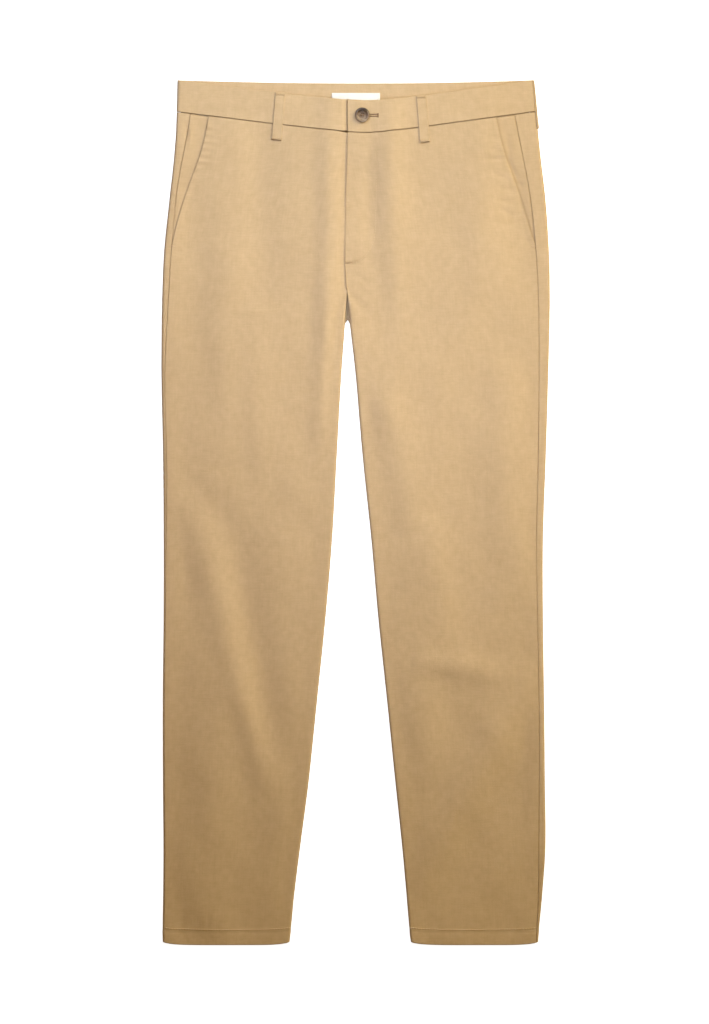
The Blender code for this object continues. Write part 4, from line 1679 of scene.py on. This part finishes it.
@dataclass
class BeltLoops:
    """Five narrow strips sewn over the waistband."""

    cloth: LaidCloth
    finish: bpy.types.Material
    width: float = 12.0
    below_seam: float = 21.0
    front_middle: float = -5.2
    front_from_middle: float = 88.8
    front_lean: float = 4.6
    side_behind_seam: float = 31.0
    turned_under: float = 7.0
    wall: float = 0.95
    double_wall: float = 0.25
    groove_inset: float = 2.0
    groove_depth: float = 0.16
    arch: float = 0.15
    seat: float = 0.10

    def strip(
        self, name: str, node: str, middle: Array, normal: Array, across: Array, row: Array
    ) -> bpy.types.Object:
        """A loop's strip: rounded edges, a stitched groove along each, ends turned under.

        Args:
            name: The piece's name.
            node: The solid that it stands for.
            middle: The face that lies on the band.
            normal: Its outward directions.
            across: Distances from the strip's middle line.
            row: Distances up the strip.

        Returns:
            The piece.
        """
        length = row.max() - row.min()
        low = row - row.min()
        from_side = self.width / 2 - np.abs(across)
        free = self.on_top(normal)
        doubled = self.double_wall * (1.0 - smooth((low - self.turned_under) / 1.5)) * free
        rise = np.clip((low - 10.0) / (length - 12.0), 0.0, 1.0)
        arch = self.arch * np.sin(rise * math.pi) * free
        groove = self.groove_depth * bell((from_side - self.groove_inset) / 0.5)
        seam_top = line(length - low - 3.0, 0.5)
        fall = rounded(np.minimum(from_side, np.minimum(low, length - low)), 0.8)
        outer = self.wall + doubled + arch - groove - seam_top * 0.4 - fall
        # painted shade under the turned-under foot, along the edges, the grooves and the top seam, and
        # over each side loop, whose side lies in shade
        mark = darkest(
            line(low, 0.40, 0.8),
            line(from_side, 0.16, 0.6),
            line(from_side - self.groove_inset, 0.08, 0.5),
            0.35 * seam_top,
            np.full(row.shape, 0.35 if "side" in node else 0.0),
        )
        form = shell(middle, normal, outer, -0.15 * arch, mark)
        return add_sheet(name, node, form, self.finish)

    def middle_line(self, place: str, side: Side, row: Array) -> Array:
        """Cloth distance of a loop's middle line: leaning in at the front, upright at the side.

        Args:
            place: "front" or "side".
            side: Which half.
            row: Heights up the loop.

        Returns:
            Distances along the cloth from the outer fold's tip.
        """
        section = self.cloth.section(side, row, True)
        if place == "side":
            at_seam = self.cloth.seam_inset[side].at(np.full(row.shape, WAIST_SEAM))
            return section.at_inset(at_seam) - self.side_behind_seam
        share = (row - row.min()) / (row.max() - row.min())
        out = self.front_from_middle + self.front_lean * (0.5 - share)
        return section.at_inset(np.abs(section.outer - self.front_middle - side.value * out))

    def on_ring(self, place: str, side: Side) -> bpy.types.Object:
        """A loop laid over the ring, at the front or beside the outer fold.

        Args:
            place: "front" or "side".
            side: Which half.

        Returns:
            The piece.
        """
        low, high = WAIST_SEAM - self.below_seam, LENGTH - GAP
        row = spaced(np.array([low]), np.array([high]), 26, EDGES[:6])[0][:, None]
        edges = np.array([-self.width / 2]), np.array([self.width / 2])
        across = spaced(*edges, 9, (0.0, 0.2, 0.45, 0.8, 1.3, 1.8))
        u = self.middle_line(place, side, row) + across
        top = self.cloth.point(side, row, np.maximum(u, 0.0), True)
        under = self.cloth.point(side, row, np.minimum(u, -1e-6), False)
        laid = np.where((u >= 0.0)[..., None], top, under)
        normal = normals(laid, side)
        middle = laid + normal * (GAP + self.seat + 0.06 * self.on_top(normal))[..., None]
        name = f"belt_loop_cloth_{place}_{side.word}"
        node = f"belt_loop_{place}_{side.word}"
        return self.strip(name, node, middle, normal, across + 0.0 * row, row + 0.0 * across)

    def on_top(self, normal: Array) -> Array:
        """1 where a strip lies on top, 0 where it lies between the band and the surface."""
        return smooth(normal[..., 2] + 0.8)

    def centre_back(self) -> bpy.types.Object:
        """The loop behind the centre back, flat between the band and the surface.

        Returns:
            The piece.
        """
        low, high = solid_box("belt_loop_centre_back")
        row = spaced(low[1:2], high[1:2], 22, EDGES[:6])[0][:, None]
        across = spaced(-(high[:1] - low[:1]) / 2, (high[:1] - low[:1]) / 2, 7, (0.0, 0.3, 0.8))
        x = (high[0] + low[0]) / 2 + across + 0.0 * row
        middle = np.stack([x, row + 0.0 * x, np.full(x.shape, high[2] - 0.25)], axis=-1)
        normal = np.broadcast_to(np.array((0.0, 0.0, -1.0)), middle.shape)
        from_side = self.width / 2 - np.abs(across)
        from_end = np.minimum(row - row.min(), row.max() - row)
        fall = rounded(np.minimum(from_side, from_end), 0.5)
        # painted shade along the strip's edges
        form = shell(middle, normal, 0.85 - fall, 0.1, line(from_side, 0.4))
        name, node = "belt_loop_cloth_centre_back", "belt_loop_centre_back"
        return add_sheet(name, node, form, self.finish)

    def build(self) -> None:
        """All five loops."""
        for side in Side:
            for place in ("front", "side"):
                self.on_ring(place, side)
        self.centre_back()


@dataclass
class Button:
    """A turned four-hole button, sewn on with crossed threads."""

    finish: bpy.types.Material
    thread: bpy.types.Material
    hole_radius: float = 0.95
    hole_offset: float = 1.75
    hole_depth: float = 0.38
    dish: float = 0.50
    rim: float = 0.48
    edge_fall: float = 0.42
    foot: tuple[tuple[float, float], ...] = (  # share of the radius, share of the height
        *((0.985, 0.32), (0.94, 0.16), (0.86, 0.06), (0.7, 0.02), (0.4, 0.0), (0.004, 0.0)),
    )
    thread_radius: float = 0.24
    thread_level: float = 0.57
    thread_spread: float = 0.42

    def profile(self, share: Array, height: float) -> Array:
        """The upper face across: a sunk dish, a rounded rim and a fall to the edge.

        Args:
            share: 0 in the middle, 1 at the edge.
            height: The button's height.

        Returns:
            The face's height.
        """
        dish = self.dish + self.rim * smooth((share - 0.52) / 0.24)
        fall = self.edge_fall * np.clip((share - 0.80) / 0.20, 0.0, 1.0) ** 2.4
        return height * (dish - fall)

    def build(self) -> None:
        """The button with its pits for holes, and the threads that hold it."""
        low, high = solid_box("button")
        centre = (low + high) / 2
        radius, height = (high[0] - low[0]) / 2, high[2] - low[2]
        ring = np.concatenate([np.linspace(0.004, 0.9, 46), np.linspace(0.915, 1.0, 9)])[:, None]
        angle = np.arange(96)[None, :] * math.tau / 96
        x, y = radius * ring * np.cos(angle), radius * ring * np.sin(angle)
        pit = np.zeros(x.shape)
        for k in range(4):
            turn = math.pi / 4 + k * math.pi / 2
            away = np.hypot(x - self.hole_offset * math.cos(turn), y - self.hole_offset * math.sin(turn))
            pit = np.maximum(pit, 1.0 - smooth((away - self.hole_radius + 0.25) / 0.4))
        top = self.profile(ring, height) - pit * height * self.hole_depth
        foot_ring, foot_rise = np.array(self.foot).T[..., None]
        fx, fy = radius * foot_ring * np.cos(angle), radius * foot_ring * np.sin(angle)
        points = np.concatenate(
            [
                np.stack([x, y, top], axis=-1),
                np.stack([fx, fy, height * foot_rise + 0.0 * fx], axis=-1),
            ]
        )
        points = points + np.array((centre[0], centre[1], low[2]))
        rows, columns = points.shape[:2]
        flat = points.reshape(-1, 3)
        faces = np.concatenate([grid_faces(rows, columns, closed=True), self.caps(rows, columns)])
        form = Form(flat, facing_out(flat, faces), flat[:, :2] * MM, np.zeros(len(flat)))
        piece = make_piece("horn_button", form, self.finish)
        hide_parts("button")
        self.sew_on(centre, low[2] + height * self.thread_level)

    def sew_on(self, centre: Array, level: float) -> None:
        """The two bundles of thread between the holes.

        Args:
            centre: The button's middle.
            level: How high the threads lie.
        """
        reach = self.hole_offset * math.cos(math.pi / 4)
        starts, ends = [], []
        for shift in np.linspace(-self.thread_spread, self.thread_spread, 4):
            for sign in (-1.0, 1.0):
                x = centre[0] + sign * reach + shift
                starts.append((x, centre[1] - reach, level))
                ends.append((x, centre[1] + reach, level))
        up = np.tile((0.0, 0.0, 1.0), (len(starts), 1))
        form = threads(np.array(starts), np.array(ends), up, self.thread_radius)
        make_piece("button_thread", form, self.thread)

    def caps(self, rows: int, columns: int) -> Array:
        """Faces that close the tiny middles of the upper and lower faces.

        Args:
            rows: How many rings of points there are.
            columns: How many points a ring has.

        Returns:
            Four point numbers for each face.
        """
        first = np.arange(columns)
        last = first + (rows - 1) * columns
        quarter = columns // 2
        walk = np.arange(quarter - 1)
        over = np.stack([first[walk + 1], first[walk], first[-1 - walk], first[-2 - walk]], axis=-1)
        under = np.stack([last[walk], last[walk + 1], last[-2 - walk], last[-1 - walk]], axis=-1)
        return np.concatenate([over, under])


@dataclass
class Label:
    """The plain white tape on the inside of the back waistband."""

    finish: bpy.types.Material
    thread: bpy.types.Material
    wall: float = 0.35
    inset: float = 1.5

    def build(self) -> None:
        """The tape with turned ends, and the stitches that hold them."""
        low, high = solid_box("label")
        half, centre = (high - low) / 2, (high + low) / 2
        row = spaced(-half[1:2], half[1:2], 12, (0.0, 0.3, 0.8))[0][:, None]
        across = spaced(-half[:1], half[:1], 30, (0.0, 0.3, 0.8, 1.6))
        x, y = across + 0.0 * row, row + 0.0 * across
        bow = 0.12 * np.sin(x / 9.0) + 0.08 * np.sin(y / 5.0 + x / 14.0)
        middle = np.stack([centre[0] + x, centre[1] + y, low[2] + 0.2 + 0.0 * x], axis=-1)
        normal = np.broadcast_to(np.array((0.0, 0.0, 1.0)), middle.shape)
        ends = 0.3 * (1.0 - smooth((half[0] - np.abs(x) - 5.0) / 0.8))
        fall = rounded(np.minimum(half[0] - np.abs(x), half[1] - np.abs(y)), 0.35)
        form = shell(middle, normal, self.wall + ends + bow - fall, 0.1, np.zeros(x.shape))
        y = centre[1] + np.linspace(self.inset - half[1], half[1] - self.inset, 12)
        up = np.tile((0.0, 0.0, 1.0), (len(y), 1))
        stitches = []
        for sign in (-1.0, 1.0):
            x = centre[0] + sign * (half[0] - 2.0)
            path = np.stack(np.broadcast_arrays(x, y, low[2] + 0.95), axis=-1)
            stitches.append(threads(*stitch_line(path, up, 2.0, 0.5), 0.16))
        sewn = make_piece("label_thread", merged(stitches), self.thread)
        add_sheet("label_tape", "label", form, self.finish)


@dataclass
class Stitching:
    """Thread that shows: hems, fly, bar tacks, loops and buttonhole."""

    cloth: LaidCloth
    panels: Panels
    loops: BeltLoops
    thread: bpy.types.Material
    hem_thread: bpy.types.Material
    brown_thread: bpy.types.Material
    radius: float = 0.21
    hem_radius: float = 0.42
    pocket_tack_y: float = 858.5
    hole_radius: float = 0.26
    hole_start: float = 14.5
    hole_end: float = 27.4
    hole_lip: float = 0.35
    hole_reach: float = 2.1

    def on_ring(
        self, side: Side, row: Array, u: Array, front: bool, lift: float
    ) -> tuple[Array, Array]:
        """Points and outward directions at places on the ring.

        Args:
            side: Which half.
            row: Heights of the rows.
            u: Distances along the ring.
            front: The front's ring, or the back's.
            lift: How far the points are moved out.

        Returns:
            The points, and unit vectors.
        """
        step = 0.5
        at = self.cloth.point(side, row, u, front)
        across = self.cloth.point(side, row, u + step, front) - at
        along = self.cloth.point(side, row + step, u, front) - at
        up = np.cross(across, along) * -side.value
        up = up / np.linalg.norm(up, axis=-1, keepdims=True)
        return at + up * lift, up

    def hem(self, side: Side, front: bool) -> Form:
        """A row of stitches along a hem.

        Args:
            side: Which half.
            front: The front's hem, or the back's.

        Returns:
            The stitches.
        """
        depth = np.array([self.panels.hem_depth])
        whole = self.cloth.section(side, depth, front).whole[0]
        seam = self.cloth.seam(side, depth, front)[0]
        ends = (seam + 1.5, whole - 1.5) if front else (seam - 1.5, 1.5 - whole)
        u = np.linspace(*ends, 160)
        row = np.full(u.shape, self.panels.hem_depth) + 0.25 * np.sin(u / 19.0)
        lift = 0.05 - 0.65 * (u < 1.0)
        path, up = self.on_ring(side, row, u, front, lift[:, None])
        return threads(*stitch_line(path, up), self.hem_radius)

    def fly(self) -> Form:
        """The curved stitching of the fly.

        Returns:
            The stitches.
        """
        out, row = self.panels.fly_curve(np.linspace(0.0, 0.985, 160))
        section = self.cloth.section(Side.LEFT, row, True)
        path, up = self.on_ring(Side.LEFT, row, section.whole - SEAM_HALF - out, True, 0.0)
        return threads(*stitch_line(path, up), self.radius)

    def bar(
        self, side: Side, row: float, u: float, slope: tuple[Array, Array], count: int, lift: float
    ) -> Form:
        """A bar tack at one place on the ring.

        Args:
            side: Which half.
            row: Its height.
            u: Its distance along the ring.
            slope: Half of its length and half of its width, as vectors.
            count: How many threads.
            lift: How far it lies above the cloth.

        Returns:
            The threads.
        """
        at, up = self.on_ring(side, np.array([row]), np.array([u]), True, lift)
        return threads(*tack(at[0], *slope, up[0], count), self.radius)

    def tacks(self, side: Side) -> list[Form]:
        """The tacks at a pocket's foot, a front loop's ends and the fly's foot.

        Args:
            side: Which half.

        Returns:
            One form for each tack.
        """
        forms = []
        row = self.pocket_tack_y
        start = self.cloth.front_start(side, np.array([row]))[0]
        lean = np.array((-side.value * 2.6, -0.5, 0.0))
        slope = lean, np.array((0.1, 0.75, 0.0))
        forms.append(self.bar(side, row, start + 1.6, slope, 12, 0.2))
        ends = np.array((WAIST_SEAM - self.loops.below_seam + 2.0, LENGTH - 3.2))
        foot_u, top_u = self.loops.middle_line("front", side, ends)
        wide, tall = np.array((5.0, 0.0, 0.0)), np.array((0.0, 0.7, 0.0))
        forms.append(self.bar(side, ends[0], foot_u, (wide, tall), 22, GAP + 1.7))
        forms.append(self.bar(side, ends[1], top_u, (wide, tall), 22, GAP + 1.35))
        if side is Side.LEFT:
            foot = self.panels.fly_foot + 1.5
            whole = self.cloth.section(side, np.array([foot]), True).whole[0]
            slope = np.array((3.4, 0.2, 0.0)), tall
            forms.append(self.bar(side, foot, whole - 4.2, slope, 16, 0.3))
        return forms

    def buttonhole(self) -> Form:
        """The worked edges of the buttonhole, seen beside the button, with its end bar.

        Returns:
            The stitches.
        """
        low, high = solid_box("button")
        middle_y = (low[1] + high[1]) / 2
        x = np.arange(self.hole_start, self.hole_end + 0.2, 0.5)
        y = np.arange(-2.4, 2.5, 0.5) + middle_y
        edges = []
        for sign in (-1.0, 1.0):
            lip, reach = middle_y + sign * self.hole_lip, middle_y + sign * self.hole_reach
            edges.append((self.seat(x, lip), self.seat(x, reach)))
        edges.append((self.seat(self.hole_end, y), self.seat(self.hole_end + 1.8, y)))
        return merged(
            [
                threads(foot, tip, np.tile((0.0, 0.0, 1.0), (len(foot), 1)), self.hole_radius)
                for foot, tip in edges
            ]
        )

    def seat(self, x: Array | float, y: Array | float) -> Array:
        """Points on the left waistband's outer face above these places.

        Args:
            x: Places across.
            y: Places up.

        Returns:
            Points, in millimetres.
        """
        x, y = np.broadcast_arrays(x, y)
        row = y + WAIST_SEAM - self.cloth.seam_y(x, 1.0)
        laid = self.cloth.lapped(x, row, 0.0 * x, 0.0 * x)
        return laid + np.array((0.0, 0.0, 0.45))

    def sewn(self, name: str, forms: list[Form], thread: bpy.types.Material) -> bpy.types.Object:
        """Some rows of stitches as one piece.

        Args:
            name: The piece's name.
            forms: The stitches.
            thread: Their material.

        Returns:
            The piece.
        """
        piece = make_piece(name, merged(forms), thread)
        return piece

    def on_front(self, side: Side) -> list[bpy.types.Object]:
        """The stitches that a front carries: its hem, its tacks and the fly's curve.

        Args:
            side: Which half.

        Returns:
            The pieces.
        """
        others = [*self.tacks(side), *([self.fly()] if side is Side.LEFT else [])]
        hem = self.sewn(f"front_hem_stitches_{side.word}", [self.hem(side, True)], self.hem_thread)
        return [hem, self.sewn(f"front_stitches_{side.word}", others, self.thread)]

    def on_back(self, side: Side) -> list[bpy.types.Object]:
        """The stitches that a back carries: its hem."""
        name = f"back_hem_stitches_{side.word}"
        return [self.sewn(name, [self.hem(side, False)], self.hem_thread)]

    def on_waistband(self, side: Side) -> list[bpy.types.Object]:
        """The stitches that a waistband carries: the buttonhole, on the left one.

        Args:
            side: Which half.

        Returns:
            The pieces.
        """
        if side is Side.RIGHT:
            return []
        return [self.sewn("buttonhole_stitches", [self.buttonhole()], self.brown_thread)]


# -------------------- the studio
class Lamp(NamedTuple):
    """A rectangular soft light: where it hangs, the point it faces, size, watts and colour."""

    name: str
    place: tuple[float, float, float]
    aim: tuple[float, float, float]
    size: tuple[float, float]
    power: float
    colour: Colour


@dataclass
class Studio:
    """Camera straight above, soft lamps on all sides, and a pale sweep."""

    lens: float = 100.0
    sensor: float = 36.0
    view_height: float = 1.2595
    look_at: tuple[float, float] = (-0.0014, 0.0007)
    lamps: tuple[Lamp, ...] = (
        Lamp("side", (2.3, 1.7, 1.5), (0.0, 0.0, 0.0), (1.7, 1.3), 97.7, (1.0, 0.88, 0.56)),
        Lamp("top", (-0.2, 0.8, 0.6), (-0.03, 0.25, 0.0), (0.6, 0.4), 3.9, (0.64, 0.8, 1.0)),
        Lamp("fill", (-1.6, 0.6, 1.8), (0.0, 0.1, 0.0), (0.8, 0.8), 3.0, (1.0, 0.1, 0.05)),
        Lamp("middle", (0.08, 0.15, 0.6), (0.06, 0.15, 0.0), (0.3, 0.3), 1.9, (0.74, 0.82, 1.0)),
    )
    surround: Colour = (1.0, 0.69, 0.03)
    surround_strength: float = 0.13
    paper: tuple[Colour, Colour] = ((0.80, 0.80, 0.80), (0.83, 0.83, 0.83))
    paper_glow: float = 0.97
    floor_radius: float = 9.0
    bend_radius: float = 4.0
    wall_top: float = 12.0

    def camera(self) -> None:
        """A long lens looking straight down, with the waist at the top of the frame."""
        data = bpy.data.cameras.new("camera")
        data.lens, data.sensor_width = self.lens, self.sensor
        data.clip_start, data.clip_end = 0.1, 100.0
        made = bpy.data.objects.new("camera", data)
        made.location = (*self.look_at, self.view_height * self.lens / self.sensor)
        bpy.context.scene.collection.objects.link(made)
        bpy.context.scene.camera = made

    def hang(self, lamp: Lamp) -> None:
        """Adds a rectangular soft light, turned to face the point it lights.

        Args:
            lamp: Its sizes and place.
        """
        data = bpy.data.lights.new(lamp.name, "AREA")
        data.shape, data.size, data.size_y = "RECTANGLE", *lamp.size
        data.energy, data.color = lamp.power, lamp.colour
        made = bpy.data.objects.new(lamp.name, data)
        made.location = lamp.place
        direction = np.array(lamp.aim) - np.array(lamp.place)
        turn = math.atan2(direction[1], direction[0])
        tilt = math.acos(-direction[2] / np.linalg.norm(direction))
        made.rotation_euler = (tilt, 0.0, turn - math.pi / 2)
        bpy.context.scene.collection.objects.link(made)

    def sweep(self) -> None:
        """The floor and the wall behind it: one profile turned about the vertical."""
        run = np.array((0.5, 2.0, 5.0, self.floor_radius))
        bend = np.linspace(0.0, math.pi / 2, 9)[1:]
        turned = self.floor_radius + self.bend_radius * np.sin(bend)
        out = np.concatenate([run, turned, [self.floor_radius + self.bend_radius]])
        lift = self.bend_radius * (1.0 - np.cos(bend))
        up = np.concatenate([np.zeros(len(run)), lift, [self.wall_top]])
        angle = np.arange(64) * math.tau / 64
        out = out[:, None]
        points = np.stack(
            [out * np.cos(angle), out * np.sin(angle), up[:, None] + 0.0 * angle], axis=-1
        )
        mesh = bpy.data.meshes.new("studio_sweep")
        faces = grid_faces(*points.shape[:2], closed=True)
        middle = list(range(len(angle)))[::-1]
        mesh.from_pydata(points.reshape(-1, 3).tolist(), [], [*faces.tolist(), middle])
        mesh.shade_smooth()
        graph = Graph("studio_paper")
        place = graph.place()
        tone = graph.noise(place, (1.5, 1.5, 1.5), 2.0)
        graph.finish(
            Base_Color=graph.blend(tone, *self.paper),
            Roughness=0.95,
            Specular_IOR_Level=0.0,
            Emission_Color=(1.0, 1.0, 1.0, 1.0),
            Emission_Strength=self.paper_glow,
        )
        mesh.materials.append(graph.material)
        made = bpy.data.objects.new("studio_sweep", mesh)
        made.visible_diffuse = made.visible_glossy = False
        bpy.context.scene.collection.objects.link(made)

    def build(self) -> None:
        """Camera, lights, sweep and a plain display transform."""
        self.camera()
        for lamp in self.lamps:
            self.hang(lamp)
        world = bpy.data.worlds.new("studio")
        world.use_nodes = True
        background = world.node_tree.nodes["Background"]
        background.inputs["Color"].default_value = (*self.surround, 1.0)
        background.inputs["Strength"].default_value = self.surround_strength
        scene = bpy.context.scene
        scene.world = world
        scene.view_settings.view_transform = "Standard"
        self.sweep()


def main() -> None:
    """Loads the frame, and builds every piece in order."""
    logging.basicConfig(level=logging.INFO, format="%(name)s %(message)s")
    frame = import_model()
    log.info("frame has %d nodes", len(frame["nodes"]))
    cloth = LaidCloth()
    twill = ChinoTwill("chino_twill").material()
    # a slightly darker copy of the twill: painted shade for the facings, which lie sunk in the pocket
    # mouths
    facing = ChinoTwill("facing_twill", light=(0.63, 0.452, 0.272)).material()
    thread = SewingThread("tan_thread").material()
    pale = SewingThread("pale_thread", (0.80, 0.61, 0.39), (0.92, 0.73, 0.49)).material()
    brown = SewingThread("brown_thread", (0.20, 0.11, 0.05), (0.34, 0.20, 0.10)).material()
    white = SewingThread("white_thread", (0.80, 0.80, 0.78), (0.92, 0.92, 0.90)).material()
    panels = Panels(cloth, twill)
    loops = BeltLoops(cloth, twill)
    stitching = Stitching(cloth, panels, loops, thread, pale, brown)
    for side in Side:
        panels.back(side, stitching.on_back(side))
        PocketFacings(cloth, facing).build(side)
        panels.front(side, stitching.on_front(side))
        Waistbands(cloth, twill).build(side, stitching.on_waistband(side))
    loops.build()
    Button(HornResin().material(), brown).build()
    Label(LabelWeave().material(), white).build()
    Studio().build()


if __name__ == "__main__":
    main()
